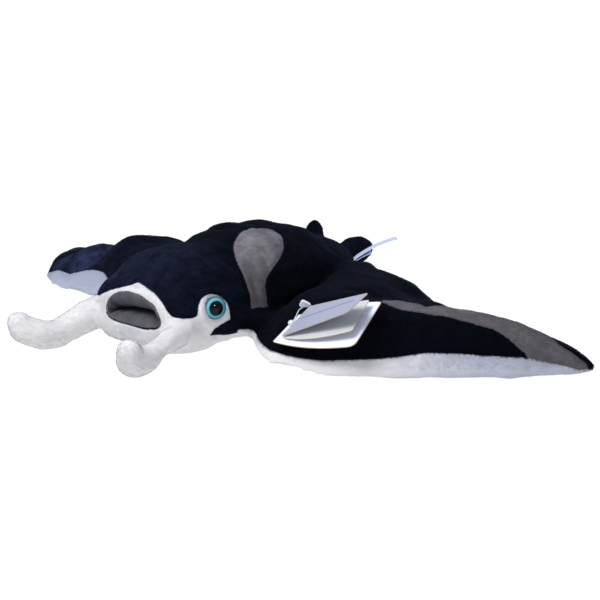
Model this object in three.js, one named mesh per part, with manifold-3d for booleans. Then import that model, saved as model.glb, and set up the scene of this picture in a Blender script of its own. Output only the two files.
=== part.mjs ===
// A plush manta ray, lying on its belly on the floor as it was put down.
// Millimetres. The head points to -Y, the toy's left wing to +X and up is +Z.
// Each stuffed part is a loft of closed rings; neighbours are parted by thin cuts.
import * as THREE from "three";
import { mergeVertices } from "three/addons/utils/BufferGeometryUtils.js";
import Module from "manifold-3d";

const wasm = await Module();
wasm.setup();

// ---- driving dimensions
const gap = 0.3; // left between any two pieces
const noseY = -110; // where the head starts to turn in to the mouth
const rearY = 80; // where the trunk starts to close at the tail
const neckY = -45; // the cut between head and trunk
const mouth = { middle: 3.2, halfWidth: 24, level: 23.6, rise: 14.2, drop: 3.2, depth: 13 };
const lip = { reach: 6, chin: 3 };
const eye = { radius: 7, dome: 3, sunk: 2.4, x: 43, y: -84.7, z: 30.6, turn: 73, tilt: 6 };
const wingRootX = 6; // where a wing's loft starts, inside the trunk
const settle = 0.8; // the stuffing gives this much, so that each part has a flat where it rests
const hornRadius = 9.6;
const card = { width: 56.5, height: 35.5, corner: 5, thickness: 0.6, open: 12, leafOpen: 6 };
const ribbon = { width: 15, thickness: 0.6 };

// Stations are [place, value]; the body's run from the nose (-Y) to the rear.
const body = {
  halfWidth: [[noseY, 36.5], [-104, 40], [-88, 44], [-60, 46], [-20, 46], [20, 43.5], [50, 35], [68, 25],
    [rearY, 15]],
  top: [[noseY, 44.5], [-104, 49], [-96, 56], [-86, 60.3], [-66, 60.8], [-52, 62], [-38, 65.2], [-22, 67.5],
    [0, 66], [18, 63], [28, 59.4], [40, 54], [62, 46], [rearY, 37.5]],
  widest: [[noseY, 24], [-88, 19], [-20, 17], [30, 18], [60, 23], [rearY, 26]],
  bottom: [[noseY, 5], [-104, 1.5], [-96, 0], [50, 0], [66, 4], [rearY, 14]],
  roundTop: 2.25, // superellipse powers of the back and of the belly
  roundBelly: 2.7,
};

// A wing's stations run out along the span: front and rear edge, the height of the top over the
// front and the back of the chord, and how far each edge is lifted off the floor.
const leftWing = {
  span: 227,
  front: [[6, -50], [38, -60], [46, -61], [58, -68], [74, -74], [95, -75], [118, -72], [138, -62],
    [155, -48], [175, -30], [195, -10], [212, 9], [223, 28], [227, 40]],
  rear: [[6, 76], [38, 77], [60, 70], [96, 62], [130, 56], [170, 51], [205, 47], [220, 45], [227, 42]],
  topFront: [[6, 12], [38, 15], [46, 22], [60, 32], [75, 37.5], [110, 40], [145, 38], [180, 33],
    [205, 25], [220, 14], [227, 6]],
  topBack: [[6, 34], [38, 38], [50, 40], [75, 39.5], [90, 37.8], [101, 34.5], [110, 30.2], [120, 28],
    [145, 26.5], [165, 26.5], [180, 25], [205, 18.5], [220, 11], [227, 5.5]],
  liftFront: [[6, 14], [38, 13], [46, 9], [58, 3], [70, 0], [227, 0]],
  liftRear: [[6, 25], [38, 25], [60, 20], [80, 13], [100, 7], [118, 4], [145, 2], [227, 0]],
  folds: [],
};
const rightWing = {
  span: 223,
  front: [[6, -50], [46, -60], [58, -58], [80, -52], [110, -45], [136, -42], [160, -43], [178, -43],
    [192, -38], [203, -26], [212, -11], [219, 4], [223, 14]],
  rear: [[6, 76], [38, 77], [60, 70], [96, 62], [130, 55], [170, 48], [198, 42], [212, 39], [219, 36],
    [223, 28]],
  topFront: [[6, 12], [38, 15], [46, 22], [60, 30], [80, 36], [100, 38.5], [115, 39.3], [130, 36.8],
    [145, 32.5], [160, 29], [185, 25], [203, 21], [216, 17.5], [223, 13]],
  topBack: [[6, 34], [38, 38], [50, 40], [80, 38], [104, 36], [130, 32], [160, 24.5], [185, 20],
    [203, 18], [216, 15], [223, 11]],
  liftFront: [[6, 14], [38, 13], [46, 9], [58, 3], [70, 1], [150, 1], [176, 2.2], [194, 5], [208, 5.6],
    [223, 5.4]],
  liftRear: leftWing.liftRear,
  folds: [[126, 10, 6], [150, 8, -4], [168, 8, 3], [186, 8, -2.5]], // place, width, height
};

// ---- colours
const cloth = (color) => new THREE.MeshStandardMaterial({ color, roughness: 0.95, metalness: 0 });
const blackPlush = cloth(0x14161f);
const whitePlush = cloth(0xe9e7ea);
const greyPlush = cloth(0x6f6c70);
const glossyEye = new THREE.MeshStandardMaterial({ color: 0x3fb4b8, roughness: 0.12, metalness: 0 });
const whiteCard = new THREE.MeshStandardMaterial({ color: 0xf2f2f4, roughness: 0.7, metalness: 0 });
const clearPlastic = new THREE.MeshStandardMaterial({ color: 0xdfe3e6, roughness: 0.35, metalness: 0 });

// ---- helpers
const clamp = (v, low, high) => Math.min(Math.max(v, low), high);
const signedPower = (v, p) => Math.sign(v) * Math.abs(v) ** p;
const ease = (t) => clamp(t, 0, 1) ** 2 * (3 - 2 * clamp(t, 0, 1));
const range = (count) => Array.from({ length: count }, (_, i) => i);
const around = (count) => range(count).map((i) => (2 * Math.PI * i) / count);

// The smooth, monotone curve through [place, value] stations, held level past its ends.
function along(stations, place) {
  const t = clamp(place, stations[0][0], stations.at(-1)[0]);
  const slope = (i) => (stations[i + 1][1] - stations[i][1]) / (stations[i + 1][0] - stations[i][0]);
  const tangent = (i) => {
    if (i === 0) return slope(0);
    if (i === stations.length - 1) return slope(i - 1);
    const [a, b] = [slope(i - 1), slope(i)];
    return a * b > 0 ? (2 * a * b) / (a + b) : 0;
  };
  let i = 0;
  while (i < stations.length - 2 && t >= stations[i + 1][0]) i += 1;
  const h = stations[i + 1][0] - stations[i][0];
  const s = (t - stations[i][0]) / h;
  return (
    (2 * s ** 3 - 3 * s ** 2 + 1) * stations[i][1] +
    (s ** 3 - 2 * s ** 2 + s) * h * tangent(i) +
    (3 * s ** 2 - 2 * s ** 3) * stations[i + 1][1] +
    (s ** 3 - s ** 2) * h * tangent(i + 1)
  );
}

function solidOf(geometry) {
  const bare = geometry.clone();
  for (const name of ["normal", "uv"]) bare.deleteAttribute(name);
  const merged = mergeVertices(bare, 1e-4);
  const made = new wasm.Manifold(
    new wasm.Mesh({
      numProp: 3,
      vertProperties: new Float32Array(merged.attributes.position.array),
      triVerts: new Uint32Array(merged.index.array),
    }),
  );
  return made.volume() < 0 ? inverted(merged) : made;
}

// The same solid from a geometry whose rings ran the other way round.
function inverted(geometry) {
  const index = new Uint32Array(geometry.index.array);
  for (let i = 0; i < index.length; i += 3) [index[i + 1], index[i + 2]] = [index[i + 2], index[i + 1]];
  const vertProperties = new Float32Array(geometry.attributes.position.array);
  return new wasm.Manifold(new wasm.Mesh({ numProp: 3, vertProperties, triVerts: index }));
}

// A closed solid through rings of equally many points, each end closed by a fan on its middle.
function loft(rings) {
  const sides = rings[0].length;
  const middle = (ring) => ring.reduce((sum, p) => sum.add(p), new THREE.Vector3()).divideScalar(sides);
  const points = [...rings.flat(), middle(rings[0]), middle(rings.at(-1))];
  const last = (rings.length - 1) * sides;
  const index = [];
  for (const j of range(sides)) {
    const next = (j + 1) % sides;
    for (const k of range(rings.length - 1)) {
      const [a, b, c, d] = [k * sides + j, k * sides + next, (k + 1) * sides + next, (k + 1) * sides + j];
      index.push(a, b, c, a, c, d);
    }
    index.push(points.length - 2, next, j, points.length - 1, last + j, last + next);
  }
  const geometry = new THREE.BufferGeometry().setFromPoints(points);
  geometry.setIndex(index);
  return solidOf(geometry);
}

const box = (low, high) =>
  wasm.Manifold.cube(high.map((v, i) => v - low[i])).translate(low);

const far = 400;
const aboveFloor = box([-far, -far, 0], [far, far, far]);

// A stuffed part sinks by settle, and what would be under the floor is flattened away.
const settled = (solid) => solid.translate([0, 0, -settle]).intersect(aboveFloor);

const ellipsoid = (centre, radii) => wasm.Manifold.sphere(1, 24).scale(radii).translate(centre);

// Boolean cuts can leave scraps: only the largest body is kept.
const largest = (solid) =>
  solid.decompose().reduce((best, piece) => (piece.volume() > best.volume() ? piece : best));

function geometryOf(solid) {
  const mesh = solid.getMesh();
  const geometry = new THREE.BufferGeometry();
  geometry.setAttribute("position", new THREE.BufferAttribute(mesh.vertProperties, mesh.numProp));
  geometry.setIndex(new THREE.BufferAttribute(mesh.triVerts, 1));
  geometry.computeVertexNormals();
  return geometry;
}

const manta = new THREE.Group();

function addNode(name, solid, material) {
  const mesh = new THREE.Mesh(geometryOf(largest(solid)), material);
  mesh.name = name;
  manta.add(mesh);
}

// ---- head and trunk
const bodySides = 32;
const bodyRings = 24;

// A ring of the body at y: superellipses for the back and the belly, wider by grow all round.
function bodyRing(y, grow) {
  const half = along(body.halfWidth, y) + grow;
  const level = along(body.widest, y);
  const up = along(body.top, y) + grow - level;
  const down = level - along(body.bottom, y) + grow;
  return around(bodySides).map((a) => {
    const power = 2 / (Math.sin(a) >= 0 ? body.roundTop : body.roundBelly);
    const z = level + (Math.sin(a) >= 0 ? up : down) * signedPower(Math.sin(a), power);
    return new THREE.Vector3(half * signedPower(Math.cos(a), power), y, z);
  });
}

function mouthRing(y, scale, grow) {
  return around(bodySides).map((a) => {
    const rise = Math.sin(a) >= 0 ? mouth.rise * Math.sin(a) ** 0.9 : -mouth.drop * (-Math.sin(a)) ** 0.7;
    const x = mouth.halfWidth * scale * signedPower(Math.cos(a), 0.83);
    const z = mouth.level + rise * scale;
    return new THREE.Vector3(mouth.middle + x + grow * Math.cos(a), y, z + grow * Math.sin(a));
  });
}

// The rear closes as a quarter round, and the lip turns in from the head's outline to the mouth's.
function bodySolid(grow) {
  const rings = [];
  const rearLevel = 26;
  for (const k of range(3)) {
    const turn = ((k + 0.5) / 3.5) * (Math.PI / 2);
    rings.push(bodyRing(rearY, grow).map((p) =>
      new THREE.Vector3(
        p.x * Math.sin(turn),
        rearY + (6 + grow) * Math.cos(turn),
        rearLevel + (p.z - rearLevel) * Math.sin(turn),
      )));
  }
  for (const k of range(bodyRings))
    rings.push(bodyRing(rearY + ((noseY - rearY) * k) / (bodyRings - 1), grow));
  const outer = bodyRing(noseY, grow);
  const inner = mouthRing(0, 1, 0);
  for (const k of range(5)) {
    const turn = ((k + 1) / 5) * (Math.PI / 2);
    const share = 1 - Math.cos(turn);
    rings.push(outer.map((p, i) => {
      const low = clamp(-Math.sin((2 * Math.PI * i) / bodySides), 0, 1);
      const reach = lip.reach + lip.chin * low + grow;
      const y = noseY - reach * Math.sin(turn);
      return new THREE.Vector3(p.x + (inner[i].x - p.x) * share, y, p.z + (inner[i].z - p.z) * share);
    }));
  }
  return loft(rings);
}

const pocket = (grow) =>
  loft([mouthRing(noseY - 14, 1, grow), mouthRing(noseY - 2, 0.97, grow),
    mouthRing(noseY + mouth.depth - 4, 0.92, grow), mouthRing(noseY + mouth.depth + grow, 0.8, grow)]);

const grownBody = bodySolid(gap).translate([0, 0, -settle]);
const side = { left: 1, right: -1 };

// An eye is a turned dome on a short stem, which is sunk in the head.
function eyeSolid(grow, mirror) {
  const steps = range(6).map((i) => (i / 5) * (Math.PI / 2));
  const profile = [
    new THREE.Vector2(0, -eye.sunk - grow),
    new THREE.Vector2(eye.radius + grow, -eye.sunk - grow),
    ...steps.map((a) =>
      new THREE.Vector2((eye.radius + grow) * Math.cos(a), (eye.dome + grow) * Math.sin(a))),
  ];
  profile[profile.length - 1].x = 0;
  const geometry = new THREE.LatheGeometry(profile, 18);
  const turn = THREE.MathUtils.degToRad(eye.turn);
  const tilt = THREE.MathUtils.degToRad(eye.tilt);
  const axis = new THREE.Vector3(
    mirror * Math.sin(turn) * Math.cos(tilt),
    -Math.cos(turn) * Math.cos(tilt),
    Math.sin(tilt),
  );
  const placing = new THREE.Matrix4().makeRotationFromQuaternion(
    new THREE.Quaternion().setFromUnitVectors(new THREE.Vector3(0, 1, 0), axis),
  );
  placing.setPosition(mirror * eye.x, eye.y, eye.z);
  return solidOf(geometry.applyMatrix4(placing));
}

const wholeBody = settled(bodySolid(0)).subtract(pocket(0));
const eyePockets = wasm.Manifold.union(Object.values(side).map((mirror) => eyeSolid(gap, mirror)));
addNode("head",
  wholeBody.intersect(box([-far, -far, 0], [far, neckY - gap / 2, far])).subtract(eyePockets),
  blackPlush);
addNode("trunk", wholeBody.intersect(box([-far, neckY + gap / 2, 0], [far, far, far])), blackPlush);
for (const [name, mirror] of Object.entries(side)) addNode("eye_" + name, eyeSolid(0, mirror), glossyEye);

// The mouth's lining bulges from above and below and leaves a slit between.
const lining = {
  upper: { centre: [mouth.middle, noseY + 7, 37.5], radii: [28, 14, 9.4] },
  lower: { centre: [mouth.middle, noseY + 7, 17], radii: [29, 15, 9.2] },
};
for (const [name, pad] of Object.entries(lining))
  addNode("mouth_lining_" + name, ellipsoid(pad.centre, pad.radii).intersect(pocket(-gap)), greyPlush);

// ---- wings
// A ring of the wing at x: from the front edge (0) over the top to the rear edge (pi) and back under.
function wingRing(wing, x) {
  const [front, rear] = [along(wing.front, x), along(wing.rear, x)];
  const [liftFront, liftRear] = [along(wing.liftFront, x), along(wing.liftRear, x)];
  const [topFront, topBack] = [along(wing.topFront, x), along(wing.topBack, x)];
  return around(26).map((a) => {
    const chord = (1 - Math.cos(a)) / 2;
    const crest = topFront + (topBack - topFront) * ease((chord - 0.3) / 0.45);
    const nose = Math.sqrt(1 - (1 - clamp(chord / 0.36, 0, 1)) ** 2.2);
    const close = Math.sqrt(1 - clamp((chord - 0.8) / 0.2, 0, 1) ** 2.2);
    const fade = clamp(chord / 0.25, 0, 1) * clamp((1 - chord) / 0.3, 0, 1);
    const fold = wing.folds.reduce(
      (sum, [place, width, height]) => sum + height * Math.exp(-(((x - place) / width) ** 2)), 0);
    const open = liftFront + (crest - liftFront) * nose + fold * fade;
    const top = liftRear + (open - liftRear) * close;
    const bottom = liftFront * (1 - chord) ** 2 + 0.9 * liftRear * chord ** 3;
    const edge = (liftFront + 5) * (1 - chord) + (liftRear + 2) * chord;
    const middle = Math.min(edge, (top + bottom) / 2);
    const rise = Math.sin(a) >= 0
      ? (top - middle) * Math.sin(a) ** 0.7
      : (bottom - middle) * (-Math.sin(a)) ** 0.6;
    return new THREE.Vector3(x, front + (rear - front) * chord, middle + rise);
  });
}

function wingSolid(wing) {
  const rounding = 27; // the last stretch of the span, with rings ever closer towards the tip
  const inner = wing.span - rounding;
  const rings = range(17).map((k) => wingRing(wing, wingRootX + ((inner - wingRootX) * k) / 16));
  for (const k of range(5))
    rings.push(wingRing(wing, inner + rounding * Math.sin(((k + 1) / 5) * (Math.PI / 2))));
  return loft(rings);
}

const wings = {
  left: settled(wingSolid(leftWing)).subtract(grownBody),
  right: settled(wingSolid(rightWing).mirror([1, 0, 0])).subtract(grownBody),
};
for (const [name, solid] of Object.entries(wings)) addNode("wing_" + name, solid, blackPlush);

// ---- horns and tail: round tubes of changing radius along a smooth path
function tube(points, radii, rings, sides) {
  const path = new THREE.CatmullRomCurve3(points.map((p) => new THREE.Vector3(...p)));
  const stations = radii.map((r, i) => [i / (radii.length - 1), r]);
  const ringAt = (t, shrink, push) => {
    const ahead = path.getTangent(t);
    const across = new THREE.Vector3().crossVectors(ahead, new THREE.Vector3(0, 0, 1)).normalize();
    const up = new THREE.Vector3().crossVectors(across, ahead);
    const radius = along(stations, t);
    const centre = path.getPoint(t).addScaledVector(ahead, push * radius);
    return around(sides).map((a) =>
      centre.clone()
        .addScaledVector(across, radius * shrink * Math.cos(a))
        .addScaledVector(up, radius * shrink * Math.sin(a)));
  };
  const body = range(rings).map((k) => ringAt(k / (rings - 1), 1, 0));
  const end = [0.35, 0.7, 0.92].map((turn) =>
    ringAt(1, Math.cos((turn * Math.PI) / 2), Math.sin((turn * Math.PI) / 2)));
  return loft([...body, ...end]);
}

const horns = {
  left: {
    path: [[34, -102, 19.5], [37.5, -114, 18.5], [39, -126, 15], [39.5, -137, 11.4], [40.5, -147.5, 11.6]],
    radii: [9, 7.6, 7.2, 8.4, 9.8],
    knob: { centre: [43, -151.6, 18], radii: [7.8, 7.8, 9] },
  },
  right: {
    path: [[-30, -96, 23], [-38, -111, 20], [-44, -121, 14.5], [-45, -134, 10], [-46, -146, 10.8],
      [-51, -155.4, 15.6], [-52.8, -158.2, 19.8]],
    radii: [11, hornRadius + 0.4, hornRadius, hornRadius, hornRadius, 8.9, 7.2],
  },
};
for (const [name, { path, radii, knob }] of Object.entries(horns)) {
  const plain = tube(path, radii, 11, 12);
  const whole = knob ? plain.add(paddle(knob.centre, knob.radii, [0, 0, 0])) : plain;
  addNode("horn_" + name, settled(whole).subtract(grownBody), whitePlush);
}

const tail = {
  path: [[0, 76, 27], [-1, 90, 19], [-4, 106, 9], [-14, 124, 4.8], [-30, 139, 4], [-50, 149, 3.6]],
  radii: [8, 7, 5.6, 4.8, 4.2, 3.6],
};
addNode("tail", settled(tube(tail.path, tail.radii, 13, 10)).subtract(grownBody), blackPlush);

// ---- fins: flat padded paddles, each an ellipsoid turned and set into its neighbour
function paddle(centre, radii, angles) {
  return wasm.Manifold.sphere(1, 16).scale(radii).rotate(angles).translate(centre);
}
const grownTail = tube(tail.path, tail.radii.map((r) => r + gap), 13, 10).translate([0, 0, -settle]);
const rearNeighbours = grownBody.add(grownTail);
const leftPaddle = (grow) =>
  paddle([12, 83, 36], [4 + grow, 18.6 + grow, 9.6 + grow], [10, -28, -4]);
addNode("pelvic_fin_left", leftPaddle(0).subtract(rearNeighbours), blackPlush);
addNode("pelvic_fin_right",
  paddle([-14, 86, 24], [11, 17, 4], [-22, 14, 8]).subtract(rearNeighbours), blackPlush);
addNode("dorsal_fin", paddle([0, 52.5, 50], [3.8, 9.6, 9.8], [-12, 0, 0]).subtract(grownBody), blackPlush);

// ---- the hang tag: a folded card with a leaf between its covers, and the pin that holds it
const cardPlane = {
  corner: new THREE.Vector3(84.7, -76.3, 14.6), // the lower end of the fold
  along: new THREE.Vector3(0.986, 0.06, 0.159).normalize(), // along the lower edge
  up: new THREE.Vector3(-0.13, 0.87, 0.476), // roughly up the fold
};
cardPlane.normal = new THREE.Vector3().crossVectors(cardPlane.along, cardPlane.up).normalize();
cardPlane.up.crossVectors(cardPlane.normal, cardPlane.along);

// A sheet hinged on the fold, lifted by open degrees, with its two free corners rounded.
function sheet(width, height, open, start) {
  const outline = new THREE.Shape();
  const r = card.corner;
  outline.moveTo(start, 0);
  outline.lineTo(width - r, 0);
  outline.absarc(width - r, r, r, -Math.PI / 2, 0, false);
  outline.lineTo(width, height - r);
  outline.absarc(width - r, height - r, r, 0, Math.PI / 2, false);
  outline.lineTo(start, height);
  outline.closePath();
  const geometry = new THREE.ExtrudeGeometry(outline, {
    depth: card.thickness, bevelEnabled: false, curveSegments: 4,
  });
  geometry.rotateY(-THREE.MathUtils.degToRad(open));
  const basis = new THREE.Matrix4().makeBasis(cardPlane.along, cardPlane.up, cardPlane.normal);
  return solidOf(geometry.applyMatrix4(basis.setPosition(cardPlane.corner)));
}

const covers = sheet(card.width, card.height, 0, 0).add(sheet(card.width, card.height, card.open, 0));
const cardSpace = covers.add(covers.translate(cardPlane.normal.clone().multiplyScalar(gap).toArray()));
addNode("tag_card", covers.subtract(wings.left), whiteCard);
addNode("tag_leaf", sheet(card.width - 3, card.height, card.leafOpen, 12), whiteCard);

// The pin is a thin open loop round the fold, with a bead at its lower end and a flat head above.
const pin = { place: 0.68, inset: 3.5, radius: 7, wire: 0.65, spread: 115 };
const pinMiddle = cardPlane.corner.clone()
  .addScaledVector(cardPlane.up, card.height * pin.place)
  .addScaledVector(cardPlane.along, pin.inset);
const pinOut = cardPlane.along.clone().multiplyScalar(-0.9).addScaledVector(cardPlane.normal, 0.44);

// A point of the loop, by its angle in degrees from the side that faces away from the card.
function onLoop(degrees) {
  const a = THREE.MathUtils.degToRad(degrees);
  return pinMiddle.clone()
    .addScaledVector(pinOut, pin.radius * Math.cos(a))
    .addScaledVector(cardPlane.up, pin.radius * Math.sin(a));
}
const loopPoints = range(9).map((k) => onLoop(pin.spread * (k / 4 - 1)).toArray());
const bead = ellipsoid(onLoop(-56).toArray(), [2.4, 2.4, 2.1]);
const pinHead = box([-0.8, -3.2, -2.4], [0.8, 3.2, 2.4]).rotate([40, 0, 25]).translate(onLoop(78).toArray());
addNode("tag_pin",
  tube(loopPoints, [pin.wire, pin.wire], 11, 5).add(bead).add(pinHead)
    .subtract(cardSpace).subtract(wings.left), clearPlastic);

// ---- the care label: two lengths of plain ribbon sewn in beside the tail
function ribbonSolid(points, width, lift) {
  const path = new THREE.CatmullRomCurve3(points.map((p) => new THREE.Vector3(...p)));
  const across = new THREE.Vector3(-0.67, 0.74, 0).multiplyScalar(width / 2);
  const rings = range(8).map((k) => {
    const centre = path.getPoint(k / 7).add(new THREE.Vector3(0, 0, lift));
    const up = new THREE.Vector3().crossVectors(across, path.getTangent(k / 7)).normalize();
    if (up.z < 0) up.negate();
    up.multiplyScalar(ribbon.thickness / 2);
    return [[-1, -1], [1, -1], [1, 1], [-1, 1]].map(([s, t]) =>
      centre.clone().addScaledVector(across, s).addScaledVector(up, t));
  });
  return loft(rings);
}
const labelPath = [[22, 70, 33], [28, 76, 39.5], [37, 83, 43], [46, 90, 46.5]];
const shortPath = [...labelPath.slice(0, 2), [33, 80.4, 41.6]];
const nearLabel = grownBody.add(leftPaddle(gap));
addNode("care_label_long", ribbonSolid(labelPath, ribbon.width, 0).subtract(nearLabel), whiteCard);
addNode("care_label_short",
  ribbonSolid(shortPath, ribbon.width, -1.6).subtract(nearLabel)
    .subtract(ribbonSolid(labelPath, ribbon.width + 1, -0.3)), whiteCard);

// ---- the origin is the middle of the underside of the whole toy's box
const extent = new THREE.Box3().setFromObject(manta);
const middle = extent.getCenter(new THREE.Vector3());
manta.children.forEach((mesh) => mesh.position.set(-middle.x, -middle.y, -extent.min.z));

export default manta;
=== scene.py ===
import math

import bpy
import numpy as np
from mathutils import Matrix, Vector


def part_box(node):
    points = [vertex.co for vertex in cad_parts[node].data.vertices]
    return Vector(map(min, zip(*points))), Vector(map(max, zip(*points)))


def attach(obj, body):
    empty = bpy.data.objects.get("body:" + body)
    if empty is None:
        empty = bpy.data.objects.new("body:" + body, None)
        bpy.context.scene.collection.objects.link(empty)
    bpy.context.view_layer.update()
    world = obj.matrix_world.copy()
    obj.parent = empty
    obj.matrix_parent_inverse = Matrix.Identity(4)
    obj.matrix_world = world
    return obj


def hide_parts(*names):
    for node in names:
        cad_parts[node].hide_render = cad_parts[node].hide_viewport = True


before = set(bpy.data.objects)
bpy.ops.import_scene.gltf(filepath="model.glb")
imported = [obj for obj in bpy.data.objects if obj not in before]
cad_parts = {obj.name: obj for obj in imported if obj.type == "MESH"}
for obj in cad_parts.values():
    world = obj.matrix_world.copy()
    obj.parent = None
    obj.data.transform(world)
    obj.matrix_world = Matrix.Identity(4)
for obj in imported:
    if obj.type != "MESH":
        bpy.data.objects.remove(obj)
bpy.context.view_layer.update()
print("frame loaded:", len(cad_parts), "nodes")

# Shapes are worked out in millimetres about the middle of the head, as the CAD is: -Y is ahead,
# +X is the toy's left. placeOf turns them into the frame's metres.
mm = 0.001
neckY = -44.85  # where the trunk starts, in the toy's own millimetres
eyeBoxes = {side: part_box("eye_" + side) for side in ("left", "right")}
frameShift = np.array([
    (eyeBoxes["left"][1].x + eyeBoxes["right"][0].x) / 2,
    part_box("trunk")[0].y - neckY * mm,
    0.0,
])


def placeOf(points):
    return np.asarray(points, float) * mm + frameShift


def fromPlace(points):
    return (points - frameShift) / mm


# The camera looks as the toy is usually seen: from ahead and a little above its left wing.
cameraView = {"azimuth": 42.0, "elevation": 14.0, "distance": 800.0, "lens": 70.59,
              "target": (17.22, 19.49, 11.88)}


def makeCamera():
    turn = math.radians(cameraView["azimuth"])
    lift = math.radians(cameraView["elevation"])
    level = math.cos(lift)
    back = np.array([math.sin(turn) * level, -math.cos(turn) * level, math.sin(lift)])
    data = bpy.data.cameras.new("camera")
    data.lens = cameraView["lens"]
    data.sensor_width = 36.0
    data.clip_start = 0.05
    data.clip_end = 50.0
    camera = bpy.data.objects.new("camera", data)
    camera.location = placeOf(np.array(cameraView["target"]) + back * cameraView["distance"])
    camera.rotation_mode = "QUATERNION"
    camera.rotation_quaternion = Vector(-back).to_track_quat("-Z", "Y")
    bpy.context.scene.collection.objects.link(camera)
    bpy.context.scene.camera = camera


studioLights = {  # name: (direction it comes from, angular size in degrees, strength, colour)
    "overhead": ((-0.3, -0.2, 1.0), 80, 0.7, (0.92, 0.96, 1.0)),
    "front": ((0.35, -1.1, 0.5), 60, 0.3, (1.0, 0.99, 0.98)),
    "sparkle": ((0.95, -0.12, 0.26), 5, 0.5, (1.0, 1.0, 1.0)),
}
softBox = {"place": (-0.02, -0.42, 0.60), "aim": (0.0, -0.08, 0.03), "size": 0.34, "power": 4.4,
           "colour": (1.0, 0.99, 0.97)}
surroundings = {"seen": (1.0, 1.0, 1.0), "light": (0.27, 0.29, 0.35)}


def makeLight(name, kind, place, aim, energy, colour):
    data = bpy.data.lights.new(name, kind)
    data.energy = energy
    data.color = colour
    light = bpy.data.objects.new(name, data)
    light.location = place
    light.rotation_mode = "QUATERNION"
    light.rotation_quaternion = (Vector(aim) - Vector(place)).to_track_quat("-Z", "Y")
    bpy.context.scene.collection.objects.link(light)
    return data


def makeStudio():
    # Soft lights, and surroundings that look white and light the toy with a bluer grey.
    for name, (fromWhere, size, strength, colour) in studioLights.items():
        makeLight(name, "SUN", fromWhere, (0, 0, 0), strength, colour).angle = math.radians(size)
    box = makeLight("softBox", "AREA", softBox["place"], softBox["aim"], softBox["power"], softBox["colour"])
    box.size = softBox["size"]
    world = bpy.data.worlds.new("studio")
    world.use_nodes = True
    nodes, links = world.node_tree.nodes, world.node_tree.links
    ray = nodes.new("ShaderNodeLightPath")
    choice = nodes.new("ShaderNodeMix")
    choice.data_type = "RGBA"
    choice.inputs[6].default_value = (*surroundings["light"], 1)
    choice.inputs[7].default_value = (*surroundings["seen"], 1)
    links.new(ray.outputs["Is Camera Ray"], choice.inputs[0])
    links.new(choice.outputs[2], nodes["Background"].inputs["Color"])
    bpy.context.scene.world = world
    bpy.context.scene.view_settings.view_transform = "Standard"


class Value:
    # Wraps an output socket, so that arithmetic on it adds Math nodes.
    def __init__(self, shader, socket):
        self.shader = shader
        self.socket = socket

    def math(self, operation, *others):
        values = {index + 1: other for index, other in enumerate(others)}
        return self.shader.node("ShaderNodeMath", {"operation": operation}, {0: self, **values})

    def __add__(self, other):
        return self.math("ADD", other)

    __radd__ = __add__

    def __mul__(self, other):
        return self.math("MULTIPLY", other)

    __rmul__ = __mul__

    def __sub__(self, other):
        return self.math("SUBTRACT", other)

    def __rsub__(self, other):
        return self.shader.node("ShaderNodeMath", {"operation": "SUBTRACT"}, {0: other, 1: self})

    def clamped(self):
        return self.shader.node("ShaderNodeClamp", {}, {"Value": self}, "Result")


def asColour(value):
    # Three parts become an opaque colour; anything else stays as it is.
    return (*value, 1) if isinstance(value, tuple) and len(value) == 3 else value


socketNames = {
    "colour": "Base Color", "roughness": "Roughness", "normal": "Normal", "specular": "Specular IOR Level",
    "coat": "Coat Weight", "coatRoughness": "Coat Roughness", "coatIor": "Coat IOR",
    "sheen": "Sheen Weight", "sheenRoughness": "Sheen Roughness", "sheenTint": "Sheen Tint",
    "subsurface": "Subsurface Weight", "subsurfaceScale": "Subsurface Scale",
    "emission": "Emission Color", "emissionStrength": "Emission Strength",
}


class Shader:
    # A material under construction, with its Principled node as surface.
    def __init__(self, name):
        self.material = bpy.data.materials.new(name)
        self.material.use_nodes = True
        self.tree = self.material.node_tree
        self.tree.nodes.clear()
        output = self.tree.nodes.new("ShaderNodeOutputMaterial")
        self.surface = self.tree.nodes.new("ShaderNodeBsdfPrincipled")
        self.tree.links.new(self.surface.outputs[0], output.inputs["Surface"])

    def put(self, target, value):
        if isinstance(value, Value):
            self.tree.links.new(value.socket, target)
        else:
            target.default_value = value

    def node(self, kind, settings, values, output=0):
        made = self.tree.nodes.new(kind)
        for key, value in settings.items():
            if key == "stops":
                ramp = made.color_ramp
                while len(ramp.elements) < len(value):
                    ramp.elements.new(0.5)
                for element, (place, colour) in zip(ramp.elements, value):
                    element.position = place
                    element.color = (*colour, 1)
            else:
                setattr(made, key, value)
        for key, value in values.items():
            self.put(made.inputs[key], value)
        return Value(self, made.outputs[output])

    def mix(self, factor, low, high):
        return self.node("ShaderNodeMix", {"data_type": "RGBA"},
                         {0: factor, 6: asColour(low), 7: asColour(high)}, 2)

    def noise(self, vector, scale, detail=2.0, roughness=0.5):
        return self.node("ShaderNodeTexNoise", {},
                         {"Vector": vector, "Scale": scale, "Detail": detail, "Roughness": roughness}, "Fac")

    def attribute(self, name):
        return self.node("ShaderNodeAttribute", {"attribute_name": name}, {}, "Fac")

    def objectPlace(self):
        return self.node("ShaderNodeTexCoord", {}, {}, "Object")

    def stretched(self, vector, scale):
        return self.node("ShaderNodeMapping", {}, {"Vector": vector, "Scale": scale})

    def bump(self, height, distance, strength):
        return self.node("ShaderNodeBump", {}, {"Height": height, "Distance": distance, "Strength": strength})

    def finish(self, **sockets):
        for key, value in sockets.items():
            self.put(self.surface.inputs[socketNames[key]], asColour(value))
        return self.material


# Shape helpers.
def ease(t):
    # The smooth step from 0 to 1.
    t = np.clip(t, 0, 1)
    return t * t * (3 - 2 * t)


def bell(distance, width):
    # 1 at no distance, and falling off to both sides.
    return np.exp(-(distance / width) ** 2)


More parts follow.
